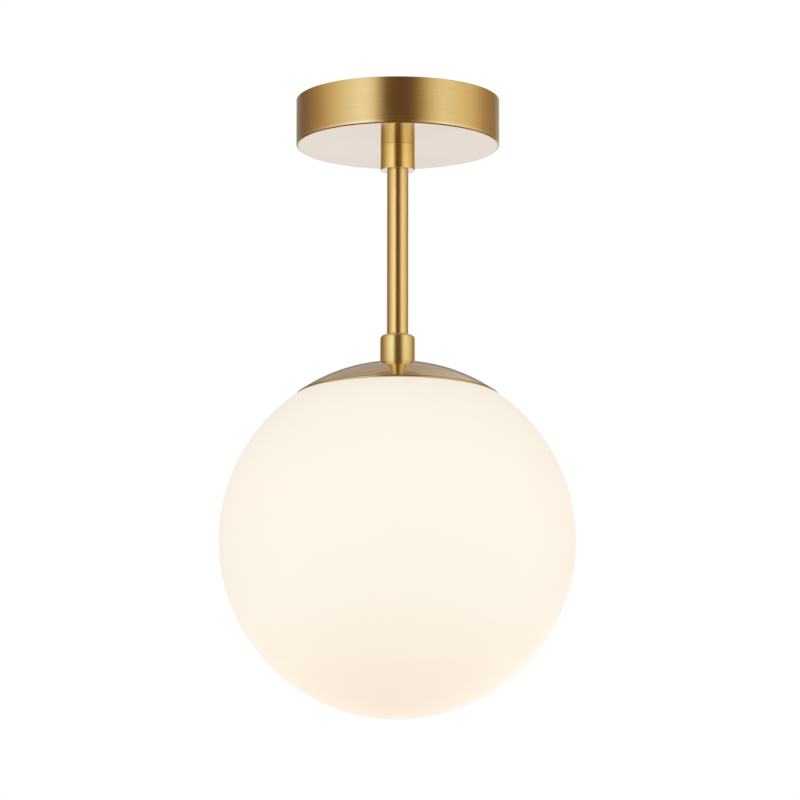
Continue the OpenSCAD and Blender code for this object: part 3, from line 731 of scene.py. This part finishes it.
def buildDome():
    d, out = dome, dome["radius"]
    inner, beadX = out - d["sheet"], d["rim"] - d["bead"]
    beadZ = d["centre"] + math.sqrt((out - d["sheet"] / 2) ** 2 - beadX ** 2)
    underFlat = math.sqrt(inner ** 2 - (d["crown"] - d["sheet"] - d["centre"]) ** 2)

    def tiltAt(away, radius):
        return math.degrees(math.acos(away / radius))

    section = [(d["hole"], d["crown"])]
    section += bend(0, d["centre"], out, tiltAt(d["flat"], out), tiltAt(beadX, out), 40)
    section += bend(beadX, beadZ, d["bead"], 62, -170, 14)
    section += bend(0, d["centre"], inner, tiltAt(beadX - 0.3, inner), tiltAt(underFlat, inner), 30)
    section += [(d["hole"], d["crown"] - d["sheet"])]
    return turned("dome_cap_polished", section, 240)


globe = {"radius": 100.0, "centre": -253.557, "wall": 3.0, "shoulder": -172.126, "fillet": 1.5,
         "neck": 34.8, "neckBore": 32.0, "neckTop": -163.426, "root": 0.6, "lip": 0.8,
         "thread": 35.5, "pitch": 4.0, "turns": 1.5, "threadAt": 1.6, "threadHalf": 1.1, "sunk": 0.2}


def buildGlobe():
    g, lip = globe, globe["lip"]
    rise = g["shoulder"] - g["centre"] - g["fillet"]
    reach = math.sqrt((g["radius"] - g["fillet"]) ** 2 - rise ** 2)
    start = math.degrees(math.atan2(rise, reach))
    innerZ, innerR = g["shoulder"] - g["wall"], g["radius"] - g["wall"]
    innerStart = math.degrees(math.asin((innerZ - g["centre"]) / innerR))
    section = bend(0, g["centre"], g["radius"], -90, start, 120)
    section += bend(reach, g["shoulder"] - g["fillet"], g["fillet"], start, 90, 8)
    section += bend(g["neck"] + g["root"], g["shoulder"] + g["root"], g["root"], 270, 180, 4)
    section += bend(g["neck"] - lip, g["neckTop"] - lip, lip, 0, 90, 4)
    section += bend(g["neckBore"] + lip, g["neckTop"] - lip, lip, 90, 180, 4)
    section += bend(g["neckBore"] + lip, innerZ + lip, lip, 180, 270, 4)
    section += bend(0, g["centre"], innerR, innerStart, -90, 70)
    ball = turned("globe_opal", section, 192, closed=False)

    # a round thread stands on the neck, its foot sunk a little into the glass
    foot, low = g["neck"] - g["sunk"], g["shoulder"] + g["threadAt"]
    swell, parts = g["thread"] - foot, 10
    turn = [math.pi * i / parts for i in range(parts + 1)]
    bead = [(foot + swell * math.sin(a), low + g["threadHalf"] * (1 - math.cos(a))) for a in turn]
    thread = wound("thread", bead, g["pitch"], int(96 * g["turns"]), sweep=g["turns"], closed=True)
    bpy.ops.mesh.fill_holes(sides=0)
    mend()
    editing(False)
    return merged(ball, thread)


finished(buildCanopy(), "canopy_set", buildCanopyPaint(), "canopy")
finished(buildStem(), "frame", buildStemPaint(), "stem_tube")
# the two collars are of one brass; their tones differ as painted light, paler on the bottom one that the
# globe lights from below
finished(buildTopCollar(), "collar_set",
         buildCollarPaint("top collar brass", collars["topLow"], (1.0, 0.76, 0.32), 0.27),
         "top_collar", weighted=False)
finished(buildFootCollar(), "frame",
         buildCollarPaint("bottom collar brass", collars["footLow"], (1.0, 0.84, 0.46), 0.32),
         "bottom_collar")
finished(buildDome(), "frame", buildDomePaint(), "dome_cap")
finished(buildGlobe(), "globe", buildOpalPaint(), "globe_glass")
print("shells turned")


# Finishes inside

def zincPaint(name, patch=90):
    # zinc plating: pale patches over a fine grain
    paint = Paint(name)
    spot = paint.spot()
    flakes = paint.node("TexVoronoi", None, {"Vector": spot, "Scale": patch * 10})
    grain = paint.noise(spot, patch * 30, 2)
    tone = paint.mixed(flakes * 0.6 + grain * 0.4, rgba((0.50, 0.54, 0.60)), rgba((0.64, 0.68, 0.74)))
    return paint.surface(Base_Color=tone, Metallic=1.0, Roughness=grain * 0.16 + 0.26)


def turnedBrass(name, tone=(0.80, 0.60, 0.30), rough=0.26):
    paint = Paint(name)
    spot, x, y, z = paint.place()
    rings = paint.noise(paint.joined(x * 120, y * 120, z * 5000), 1, 2)
    stain = paint.noise(spot, 240, 3)
    colour = paint.mixed(stain, shade(tone, 0.86), shade(tone, 1.08))
    return paint.surface(Base_Color=colour, Metallic=1.0, Roughness=rings * 0.12 + rough,
                         Normal=paint.relief(rings, 0.2, 0.003 * mm))


def mouldedPlastic(name, pale, dark, rough=0.42, grain=900, glow=None):
    paint = Paint(name)
    spot = paint.spot()
    skin = paint.noise(spot, grain, 2)
    drift = paint.noise(spot, 60, 2)
    colour = paint.mixed(drift, rgba(pale), rgba(dark))
    extra = {"Emission_Color": rgba(glow), "Emission_Strength": 0.5} if glow else {}
    return paint.surface(Base_Color=colour, Roughness=skin * 0.14 + rough,
                         Normal=paint.relief(skin, 0.12, 0.02 * mm), **extra)


def glazePaint(name, pale=(0.84, 0.82, 0.76)):
    # glazed porcelain with faint specks
    paint = Paint(name)
    spot = paint.spot()
    specks = paint.rise(paint.noise(spot, 1500, 1), 0.70, 0.78)
    cloud = paint.noise(spot, 70, 3)
    body = paint.mixed(cloud, rgba(pale), shade(pale, 0.95))
    colour = paint.mixed(specks * 0.35, body, rgba((0.40, 0.33, 0.24)))
    return paint.surface(Base_Color=colour, Roughness=cloud * 0.08 + 0.16, Coat_Weight=0.4)


def softPaint(name, pale, dark, rough, cell=600, depth=0.05):
    paint = Paint(name)
    spot = paint.spot()
    cells = paint.node("TexVoronoi", None, {"Vector": spot, "Scale": cell})
    haze = paint.noise(spot, 120, 2)
    return paint.surface(Base_Color=paint.mixed(cells * 0.5 + haze * 0.5, rgba(dark), rgba(pale)),
                         Roughness=haze * 0.10 + rough,
                         Normal=paint.relief(cells, 0.35, depth * mm))


# Plate and what it carries

plate = {"radius": 50.0, "sheet": 1.5, "edge": 0.35, "bridge": 14.0, "bridgeWidth": 20.0,
         "bridgeLength": 55.0, "outerBend": 2.2, "innerBend": 0.7, "slit": 0.6, "slotAt": 40.0,
         "slotLength": 12.0, "slotWidth": 5.0, "entryAt": 39.5, "entry": 8.0, "hole": 5.1,
         "fixingAt": (4.5, 21.5), "fixing": 1.6}


def buildPlate():
    p, past = plate, 5
    disc = turned("mounting_plate_pressed", edgedRing(0, p["radius"], -p["sheet"], 0, p["edge"]), 160)
    half, wide = p["bridgeLength"] / 2, p["bridgeWidth"] / 2
    cut(disc, bar("window", (-half, -wide - p["slit"], -past), (half, wide + p["slit"], past)))
    run, thick = (p["slotLength"] - p["slotWidth"]) / 2, p["slotWidth"] / 2
    for side in (-1, 1):
        middle = side * p["slotAt"]
        ends = [rod("slot end", thick, -past, past, at=(middle + e * run, 0)) for e in (-1, 1)]
        cut(disc, *ends, bar("slot", (middle - run, -thick, -past), (middle + run, thick, past)))
        hole = (side * p["fixingAt"][0], p["fixingAt"][1])
        cut(disc, rod("fixing hole", p["fixing"], -past, past, at=hole))
    cut(disc, rod("entry", p["entry"], -past, past, at=(0, p["entryAt"])))

    # the bridge is a bent strip: its edge is drawn, filled and pulled out across its width
    outer, t, deep = half + p["sheet"], p["sheet"], p["bridge"]
    big, small = p["outerBend"], p["innerBend"]
    edgeLine = [(-outer, 0)] + bend(-outer + big, -deep + big, big, 180, 270)
    edgeLine += bend(outer - big, -deep + big, big, 270, 360) + [(outer, 0), (half, 0)]
    edgeLine += bend(half - small, -deep + t + small, small, 0, -90)
    edgeLine += bend(-half + small, -deep + t + small, small, -90, -180) + [(-half, 0)]
    strip = drawSection("bridge", edgeLine)
    editing(True)
    pickAll()
    weld()
    bpy.ops.mesh.edge_face_add()
    bpy.ops.transform.translate(value=(0, -wide * mm, 0))
    bpy.ops.mesh.extrude_region_move(TRANSFORM_OT_translate={"value": (0, 2 * wide * mm, 0)})
    mend()
    editing(False)
    cut(strip, rod("nipple hole", p["hole"], -deep - past, -past))
    cut(disc, strip, keep="UNION")
    return disc


washerFit = {"radius": 8.5, "thick": 0.6, "bore": 5.1, "teeth": 12, "gap": 1.2, "deep": 1.6,
             "heights": (-14.6, -163.326)}


def buildWashers():
    # flat teeth stand between gaps that are cut in the rim
    w, (low, lower) = washerFit, washerFit["heights"]
    ring = turned("star_washers_toothed", edgedRing(w["bore"], w["radius"], low, low + w["thick"], 0), 144)
    for i in range(w["teeth"]):
        gap = bar("gap", (w["radius"] - w["deep"], -w["gap"] / 2, low - 1),
                  (w["radius"] + 1, w["gap"] / 2, low + 2))
        pick(gap)
        bpy.ops.transform.rotate(value=2 * math.pi * i / w["teeth"], orient_axis="Z",
                                 center_override=(0, 0, 0))
        settle()
        cut(ring, gap)
    softened(ring, 0.08, 1, 40)
    return merged(ring, copyUp(ring, lower - low))


lockNuts = {"flats": 14, "bore": 5.1, "face": 0.95, "low": -12.5, "high": -9.5, "drops": (5.1, 153.826)}


def buildLockNuts():
    first = softened(hexNut("lock_nuts_brass", lockNuts), 0.06, 1, 25)
    return merged(first, *[copyUp(first, -drop) for drop in lockNuts["drops"]])


grommet = {"at": 39.5, "bore": 4.5, "barrel": 7.9, "flange": 9.5, "sheet": 1.5, "lip": 1.6,
           "edge": 0.3, "soft": 0.5}


def buildGrommet():
    g, edge, soft = grommet, grommet["edge"], grommet["soft"]
    half, under, low = g["lip"] / 2, -g["sheet"], -g["sheet"] - g["lip"]
    section = [(g["bore"], -edge), (g["bore"] + edge, 0), (g["barrel"] - edge, 0), (g["barrel"], -edge)]
    section += [(g["barrel"], under)] + bend(g["flange"] - half, under - half, half, 90, -90, 10)
    section += bend(g["bore"] + soft, low + soft, soft, 270, 180, 6)
    return shifted(turned("cable_grommet_rubber", section, 96), 0, g["at"], 0)


earth = {"at": (-24, -24),
         "stud": {"root": 1.72, "crest": 2.0, "pitch": 0.7, "bore": 0, "low": -9.1, "high": -2.3},
         "flange": {"radius": 4.2, "low": -2.5, "high": -1.5, "edge": 0.2},
         "washer": {"bore": 2.1, "radius": 4.0, "low": -3.3, "high": -2.5, "edge": 0.15},
         "nut": {"flats": 7, "bore": 2.1, "face": 0.95, "low": -7.1, "high": -4.1}}


def buildEarthStud():
    size, f = earth["stud"], earth["flange"]
    low, high, out, edge = f["low"], f["high"], f["radius"], f["edge"]
    stud = threaded("earth_stud_threaded", size, size["low"], size["high"], 24)
    section = [(0, low), (out - edge, low), (out, low + edge), (out, high), (0, high)]
    cut(stud, turned("flange", section, 64), keep="UNION")
    return shifted(stud, *earth["at"], 0)


def buildEarthWasher():
    w = earth["washer"]
    section = edgedRing(w["bore"], w["radius"], w["low"], w["high"], w["edge"])
    return shifted(turned("earth_washer_flat", section, 64), *earth["at"], 0)


def buildEarthNut():
    return softened(hexNut("earth_nut_chamfered", earth["nut"], earth["at"]), 0.05, 1, 25)


finished(buildPlate(), "frame", zincPaint("plate zinc", 60), "mounting_plate", weighted=False)
finished(buildWashers(), "frame", zincPaint("washer zinc", 200),
         "star_washers", weighted=False)
finished(buildLockNuts(), "frame", turnedBrass("nut brass"), "lock_nuts", weighted=False)
finished(buildGrommet(), "frame",
         softPaint("grommet rubber", [0.045] * 3, [0.025] * 3, 0.55, 1800, 0.02), "cable_grommet")
finished(buildEarthStud(), "frame", zincPaint("stud zinc", 200), "earth_stud", weighted=False)
finished(buildEarthWasher(), "frame", zincPaint("earth washer zinc", 220), "earth_washer")
finished(buildEarthNut(), "frame", zincPaint("earth nut zinc", 220),
         "earth_nut", weighted=False)
finished(refined("earth_tag", "earth_tag_crimped", 0.12), "frame",
         turnedBrass("tag brass", (0.86, 0.74, 0.52)), "earth_tag", weighted=False)
print("plate fitted")


# Terminal block

finished(refined("terminal_body", "terminal_body_moulded", 0.25), "frame",
         mouldedPlastic("block nylon", (0.80, 0.80, 0.77), (0.74, 0.74, 0.71), 0.38),
         "terminal_body", weighted=False)
finished(refined("terminal_inserts", "terminal_inserts_turned", 0.12), "frame",
         turnedBrass("insert brass"), "terminal_inserts", weighted=False)
finished(refined("terminal_screws", "terminal_screws_slotted", 0.1), "frame",
         zincPaint("wire screw zinc", 260), "terminal_screws", weighted=False)
finished(refined("terminal_fixings", "terminal_fixings_slotted", 0.12), "frame",
         zincPaint("fixing zinc", 240), "terminal_fixings", weighted=False)
print("terminal block made")


# Leads

lead = {"radius": 1.1, "bend": 3.0, "stripped": 2.6, "core": 0.6, "step": 0.05,
        "blockY": 16.5, "blockZ": -7.1, "apart": 1.3, "rise": -4.6,
        "turnZ": -178.526, "post": 8, "endZ": -185.326}


def roundedRoute(corners, steps=8):
    # corners of a route with each inner one bent round
    points = [Vector(c) for c in corners]
    route, radius = [points[0]], lead["bend"]
    for before, here, after in zip(points, points[1:], points[2:]):
        a, b = (before - here).normalized(), (after - here).normalized()
        turn = math.pi - a.angle(b)
        trim = radius * math.tan(turn / 2)
        centre = here + (a + b).normalized() * math.hypot(trim, radius)
        start, end = here + a * trim - centre, here + b * trim - centre
        route += [centre + start.slerp(end, i / steps).normalized() * radius for i in range(steps + 1)]
    return route + [points[-1]]


def buildLead(name, corners, bare=(1, 1)):
    route = roundedRoute(corners)
    # the copper shows at the ends that are stripped
    first, last = (route[1] - route[0]).normalized(), (route[-2] - route[-1]).normalized()
    bareTo, core = lead["stripped"], lead["core"]
    sleeveAt = bareTo + lead["step"]
    radii = [1.0] * len(route)
    if bare[0]:
        route[1:1] = [route[0] + first * bareTo, route[0] + first * sleeveAt]
        radii[0:1] = [core, core, 1.0]
    if bare[1]:
        route[-1:-1] = [route[-1] + last * sleeveAt, route[-1] + last * bareTo]
        radii[-1:] = [1.0, core, core]
    firstPoint(name)
    bpy.ops.transform.translate(value=route[0] * mm)
    for here, there in zip(route, route[1:]):
        bpy.ops.mesh.extrude_vertices_move(TRANSFORM_OT_translate={"value": (there - here) * mm})
    editing(False)
    bpy.ops.object.convert(target="CURVE")
    ob = bpy.context.object
    ob.data.bevel_depth = lead["radius"] * mm
    ob.data.bevel_resolution = 6
    ob.data.use_fill_caps = True
    line = ob.data.splines[0].points
    if (line[0].co.xyz - route[0] * mm).length > 0.1 * mm:
        radii.reverse()
    for point, radius in zip(line, radii):
        point.radius = radius
    bpy.ops.object.convert(target="MESH")
    ob = bpy.context.object
    editing(True)
    mend()
    editing(False)
    return ob


def leadPaint(name, main, ends, stripe=None):
    # coloured sleeve, bare copper past the given places
    paint = Paint(name)
    spot, x, y, z = paint.place()
    haze = paint.noise(spot, 300, 2)
    sleeve = paint.mixed(haze, shade(main, 0.85), rgba(main))
    if stripe:
        bands = paint.rise((x * 900 + z * 700).maths("SINE"), 0.0, 0.12)
        sleeve = paint.mixed(bands, sleeve, rgba(stripe))
    copper = None
    for axis, place, sign in ends:
        value = {"x": x, "y": y, "z": z}[axis] * sign
        part = paint.rise(value, (place * sign - 0.02) * mm, (place * sign + 0.02) * mm)
        copper = part if copper is None else copper.maths("MAXIMUM", part)
    strands = paint.noise(paint.joined(x * 6000, y * 400, z * 6000), 1, 2)
    wire = paint.mixed(strands, rgba((0.70, 0.30, 0.17)), rgba((0.90, 0.50, 0.32)))
    return paint.surface(Base_Color=paint.mixed(copper, sleeve, wire), Metallic=copper,
                         Roughness=haze * 0.08 + 0.36)


def downTheStem(side):
    # each lead keeps to its own side of the stem, then turns out to its terminal
    x, post = side * lead["apart"], side * lead["post"]
    return [(x, 0, lead["rise"]), (x, 0, lead["turnZ"]), (post, 0, lead["turnZ"]), (post, 0, lead["endZ"])]


blockY, blockZ = lead["blockY"], lead["blockZ"]
liveRoute = [(9, blockY, blockZ), (9, 8.5, blockZ), (1.3, 5.2, -4.6)] + downTheStem(1)
neutralRoute = [(0, blockY, blockZ), (0, 9.5, blockZ), (-1.3, 5.6, -4.6)] + downTheStem(-1)
earthRoute = [(-9, blockY, blockZ), (-9, 5, blockZ), (-24, -8, -5.2), (-24, -17.5, -5.2)]

# the sleeves end where each lead enters the block and the lampholder's terminals
blockEnd, holderEnd = ("y", 13.9, 1), ("z", -182.73, -1)
both = [blockEnd, holderEnd]
finished(buildLead("live_lead_sleeved", liveRoute), "frame",
         leadPaint("brown sleeve", (0.20, 0.075, 0.03), both), "live_lead", weighted=False)
finished(buildLead("neutral_lead_sleeved", neutralRoute), "frame",
         leadPaint("blue sleeve", (0.02, 0.14, 0.50), both), "neutral_lead", weighted=False)
finished(buildLead("earth_lead_sleeved", earthRoute, (1, 0)), "frame",
         leadPaint("green and yellow sleeve", (0.06, 0.34, 0.06), [blockEnd], (0.85, 0.72, 0.06)),
         "earth_lead", weighted=False)
print("leads laid")


# Nipples, bush and seals

bush = {"bore": 6.08, "neck": 7.4, "flange": 10.0, "thick": 1.2, "edge": 0.2}


def buildBush():
    b, edge = bush, bush["edge"]
    low, seat = canopy["bottom"], canopy["bottom"] + canopy["sheet"]
    high = seat + b["thick"]
    section = [(b["bore"], low), (b["neck"] - edge, low), (b["neck"], low + edge), (b["neck"], seat)]
    section += edgedRing(b["bore"] + edge, b["flange"], seat, high, edge)[1:] + [(b["bore"], high - edge)]
    return turned("canopy_bush_nylon", section, 96)


rimSeal = {"inner": 53.1, "outer": 56.1, "low": -3.0, "high": 0, "soft": 0.5}
gasket = {"inner": 36.1, "outer": 40.1, "low": -172.076, "high": -170.076, "soft": 0.5}


def buildSeal(name, size):
    section = softRing(size["inner"], size["outer"], size["low"], size["high"], size["soft"])
    return turned(name, section, 192)


setScrew = {"root": 1.74, "crest": 2.0, "pitch": 0.7, "bore": 0, "low": 6.08, "high": 9.45,
            "socketFlats": 2, "socketLow": 7.75}


def buildSetScrew():
    # a grub screw with a hexagon socket, laid along Y
    c = setScrew
    screw = threaded("set_screw_socket", c, c["low"], c["high"], 24)
    corner = c["socketFlats"] / 2 / math.cos(math.radians(30))
    cut(screw, rod("socket", corner, c["socketLow"], c["high"] + 1.55, sides=6))
    editing(True)
    pickAll()
    bpy.ops.transform.rotate(value=math.pi / 2, orient_axis="X", center_override=(0, 0, 0))
    editing(False)
    return shifted(screw, 0, 0, collars["screwZ"])


domeSeal = {"bore": 5.1, "radius": 9.75, "low": -154.9, "high": -153.9, "soft": 0.3}


def buildDomeSeal():
    d, soft = domeSeal, domeSeal["soft"]
    away = d["radius"] - soft
    section = bend(away, d["high"] - soft, soft, 90, 0, 3) + bend(away, d["low"] + soft, soft, 0, -90, 3)
    return turned("dome_seal_washer", section + [(d["bore"], d["low"]), (d["bore"], d["high"])], 96)


spacer = {"bore": 5.1, "radius": 9.0, "low": -161.726, "high": -154.9, "edge": 0.3}


def buildSpacer():
    c, edge = spacer, spacer["edge"]
    section = edgedRing(c["bore"] + edge, c["radius"], c["low"], c["high"], edge)
    section += [(c["bore"], c["high"] - edge), (c["bore"], c["low"] + edge)]
    return turned("gallery_spacer_turned", section, 96)


gallery = {"top": -161.726, "sheet": 1.0, "skirt": 36.1, "corner": 2.0, "bottom": -170.026, "lip": 39.1,
           "foot": 0.4, "hole": 5.1}


def buildPan():
    g, t, corner, foot = gallery, gallery["sheet"], gallery["corner"], gallery["foot"]
    inner, outer, low, high = g["skirt"], g["skirt"] + t, g["bottom"], g["top"]
    section = [(g["hole"], high)] + bend(outer - corner, high - corner, corner, 90, 0, 8)
    section += bend(outer + foot, low + t + foot, foot, 180, 270, 4)
    section += bend(g["lip"] - t / 2, low + t / 2, t / 2, 90, -90, 6) + [(inner, low)]
    section += bend(inner - corner + t, high - corner, corner - t, 0, 90, 6)
    return turned("gallery_pan_spun", section + [(g["hole"], high - t)], 192)


nipple = {"root": 4.6, "crest": 5.0, "pitch": 1.0, "bore": 3.5,
          "top": (-29, -8), "bottom": (-175.326, -134.1)}

finished(threaded("top_nipple_threaded", nipple, *nipple["top"]), "frame",
         turnedBrass("nipple brass"), "top_nipple", weighted=False)
finished(threaded("bottom_nipple_threaded", nipple, *nipple["bottom"]), "frame",
         turnedBrass("lower nipple brass"), "bottom_nipple", weighted=False)
finished(buildBush(), "canopy_set",
         mouldedPlastic("bush nylon", (0.80, 0.80, 0.78), (0.73, 0.73, 0.70)), "canopy_bush")
finished(buildSeal("rim_seal_foam", rimSeal), "canopy_set",
         softPaint("foam", (0.075, 0.075, 0.078), [0.02] * 3, 0.85, 1500, 0.15), "rim_seal")
finished(buildSetScrew(), "collar_set",
         zincPaint("grub screw steel", 260), "collar_set_screw", weighted=False)
finished(buildDomeSeal(), "frame",
         softPaint("seal silicone", (0.62, 0.62, 0.60), (0.52, 0.52, 0.50), 0.45, 900, 0.01), "dome_seal")
finished(buildSpacer(), "frame", zincPaint("spacer zinc", 150), "gallery_spacer")
finished(buildPan(), "frame", zincPaint("gallery zinc", 60), "gallery_pan")
finished(buildSeal("glass_gasket_soft", gasket), "gasket_ring",
         softPaint("gasket silicone", (0.70, 0.70, 0.68), (0.60, 0.60, 0.58), 0.42, 700, 0.01),
         "glass_gasket")
print("nipples and seals made")


# Lampholder

holder = {"top": -166.326, "boss": 8.0, "bossLow": -173.326, "radius": 19.0, "wall": 2.0, "bend": 6.0,
          "join": -190.326, "bottom": -219.126, "edge": 3.0, "spigot": 16.9, "spigotHigh": -185.326,
          "bore": 14.1, "seat": 14.9, "shellTop": -191.926, "hole": 5.1, "bossEdge": 0.6, "fillet": 1.0,
          "joinEdge": 0.4, "mouthEdge": 0.5, "grips": (-199.0, -203.0), "gripRadius": 0.75, "gripOut": 0.35,
          "shellLow": -216.926, "shellGap": 0.55, "flangeBore": 8.0, "flange": 14.0}
holderThread = {"crest": 13.95, "root": 13.72, "pitch": 3.629, "sheet": 0.42}


def buildHolderCap():
    h, edge = holder, holder["bossEdge"]
    crown, join, out = h["bossLow"], h["joinEdge"], h["radius"]
    bendAt = (out - h["bend"], crown - h["bend"])
    section = [(h["hole"], h["top"])] + bend(h["boss"] - edge, h["top"] - edge, edge, 90, 0, 5)
    section += bend(h["boss"] + h["fillet"], crown + h["fillet"], h["fillet"], 180, 270, 6)
    section += bend(*bendAt, h["bend"], 90, 0, 14)
    section += bend(out - join, h["join"] + join, join, 0, -90, 4) + [(out - h["wall"], h["join"])]
    section += bend(*bendAt, h["bend"] - h["wall"], 0, 90, 12)
    return turned("holder_cap_glazed", section + [(h["hole"], crown - h["wall"])], 144)


def buildHolderBody():
    h, join, mouth = holder, holder["joinEdge"], holder["mouthEdge"]
    section = [(h["spigot"], h["spigotHigh"]), (h["spigot"], h["join"])]
    section += bend(h["radius"] - join, h["join"] - join, join, 90, 0, 4)
    # two shallow grip rings run round the middle
    for ring in h["grips"]:
        section += bend(h["radius"] + h["gripOut"], ring, h["gripRadius"], 118, 242, 6)
    section += bend(h["radius"] - h["edge"], h["bottom"] + h["edge"], h["edge"], 0, -90, 10)
    section += bend(h["bore"] + mouth, h["bottom"] + mouth, mouth, -90, -180, 4)
    section += [(h["bore"], h["shellTop"]), (h["seat"], h["shellTop"]), (h["seat"], h["spigotHigh"])]
    return turned("holder_body_glazed", section, 144)


def buildHolderShell():
    h, top, out = holder, holder["shellTop"], holder["flange"]
    shell = rolledShell("holder_shell_rolled", holderThread, h["shellLow"], top - h["shellGap"])
    section = [(h["flangeBore"], top - 0.5), (out - 0.05, top - 0.5), (out, top - 0.4), (out, top)]
    return merged(shell, turned("flange", section + [(h["flangeBore"], top)], 144))


contact = {"head": 4.0, "under": 1.4, "rivet": 1.5, "stand": 4.4, "knob": 2.6, "knobTop": 5.4}


def buildHolderContact():
    c, top, rivet, knob = contact, holder["shellTop"], contact["rivet"], contact["knob"]
    stand, crown = top + c["stand"], top + c["knobTop"]
    section = [(0, top - c["under"])] + bend(3.4, top - 0.8, 0.6, -90, 0, 5)
    section += [(c["head"], top), (rivet, top), (rivet, stand), (knob, stand)]
    section += bend(knob - 0.8, crown - 0.8, 0.8, 0, 90, 6) + [(0, crown)]
    return turned("holder_contact_riveted", section, 72, closed=False)


finished(buildHolderCap(), "frame", glazePaint("cap glaze"), "holder_cap")
finished(buildHolderBody(), "frame", glazePaint("body glaze"), "holder_body")
finished(refined("holder_insulator", "holder_insulator_fired", 0.15), "frame",
         glazePaint("insulator glaze", (0.80, 0.78, 0.72)), "holder_insulator", weighted=False)
finished(buildHolderShell(), "frame", turnedBrass("shell brass", (0.86, 0.66, 0.34), 0.2),
         "holder_shell", weighted=False)
finished(buildHolderContact(), "frame", turnedBrass("contact brass"), "holder_contact")
finished(refined("holder_terminals", "holder_terminals_milled", 0.15), "frame",
         turnedBrass("terminal brass"), "holder_terminals", weighted=False)
print("lampholder made")


# Lamp

lamp = {"top": -193.426, "button": 4.8, "buttonLow": -195.226, "shellTop": -198.426, "shellLow": -219.426,
        "shell": 13.1, "housingLow": -257.826, "rim": 29.4, "rimHigh": 3.0, "rimEdge": 0.3, "rimWall": 1.6,
        "centre": -263.796, "radius": 30.0, "wall": 1.5}
lampThread = {"crest": 13.1, "root": 12.3, "pitch": 3.629, "sheet": 0.4}
# the shell's closed upper edge and its skirt, drawn from its upper and lower outer corners
lampLip = [(-0.75, -1.75), (-0.5, -1.55), (-0.25, -1.2), (-1.2, 0), (-3.0, 0), (-3.0, -0.5), (-1.4, -0.5),
           (-0.95, -1.4), (-1.15, -1.75)]
lampSkirt = [(-1.05, 1.65), (-0.55, 1.65), (0, 1.2), (0, 0), (-0.5, 0), (-0.5, 1.1)]


def buildLampContact():
    top, low, out = lamp["top"], lamp["buttonLow"], lamp["button"]
    section = [(0, top)] + bend(1.2, top - 0.9, 0.9, 90, 40, 4)
    section += [(3.4, top - 0.75), (4.4, top - 1.0), (out, top - 1.3), (out, low), (0, low)]
    return turned("lamp_contact_soldered", section, 72, closed=False)


def buildLampInsulator():
    high, low = lamp["buttonLow"], lamp["shellTop"]
    section = [(0, high), (5.6, high)] + bend(6.2, high - 1.2, 1.0, 80, 45, 4)
    section += [(11.4, low + 0.3), (11.9, low), (0, low)]
    return turned("lamp_insulator_glass", section, 96, closed=False)


def buildLampShell():
    top, low, out = lamp["shellTop"], lamp["shellLow"], lamp["shell"]
    shell = rolledShell("lamp_shell_rolled", lampThread, low + 1.5, top - 1.6)
    lip = turned("lip", [(out + x, top + z) for x, z in lampLip], 144)
    skirt = turned("skirt", [(out + x, low + z) for x, z in lampSkirt], 144)
    return merged(shell, lip, skirt)


def buildLampHousing():
    top, low, rim, edge = lamp["shellLow"], lamp["housingLow"], lamp["rim"], lamp["rimEdge"]
    high, inner = low + lamp["rimHigh"], rim - lamp["rimWall"]
    section = [(0, top)] + bend(13.4, top - 0.6, 0.6, 90, 15, 4) + bend(13.7, top - 5.0, 1.8, 8, -20, 4)
    section += bend(28.0, high + 0.2, 1.4, 35, 0, 5) + [(rim, low + edge), (rim - edge, low)]
    section += [(inner, low), (inner, high), (13.9, top - 5.0), (12.4, top - 2.0), (0, top - 2.0)]
    return turned("lamp_housing_moulded", section, 144, closed=False)


def buildDiffuser():
    centre, outer, inner = lamp["centre"], lamp["radius"], lamp["radius"] - lamp["wall"]
    rise = lamp["housingLow"] - centre
    section = bend(0, centre, outer, -90, math.degrees(math.asin(rise / outer)), 48)
    section += bend(0, centre, inner, math.degrees(math.asin(rise / inner)), -90, 40)
    return turned("lamp_diffuser_opal", section, 144, closed=False)


finished(buildLampContact(), "lamp_button",
         turnedBrass("lamp contact", (0.74, 0.73, 0.70), 0.34), "lamp_contact")
finished(buildLampInsulator(), "lamp",
         mouldedPlastic("black glass", [0.02] * 3, [0.035] * 3, 0.08), "lamp_insulator")
finished(buildLampShell(), "lamp", turnedBrass("lamp shell metal", (0.78, 0.78, 0.79), 0.2),
         "lamp_shell", weighted=False)
finished(buildLampHousing(), "lamp",
         mouldedPlastic("lamp housing plastic", (0.80, 0.80, 0.79), (0.76, 0.76, 0.75), 0.34),
         "lamp_housing")
finished(buildDiffuser(), "lamp",
         mouldedPlastic("lamp opal", (0.66, 0.64, 0.60), (0.62, 0.60, 0.56), 0.34, 900, (0.55, 0.50, 0.43)),
         "lamp_diffuser")
print("lamp made")
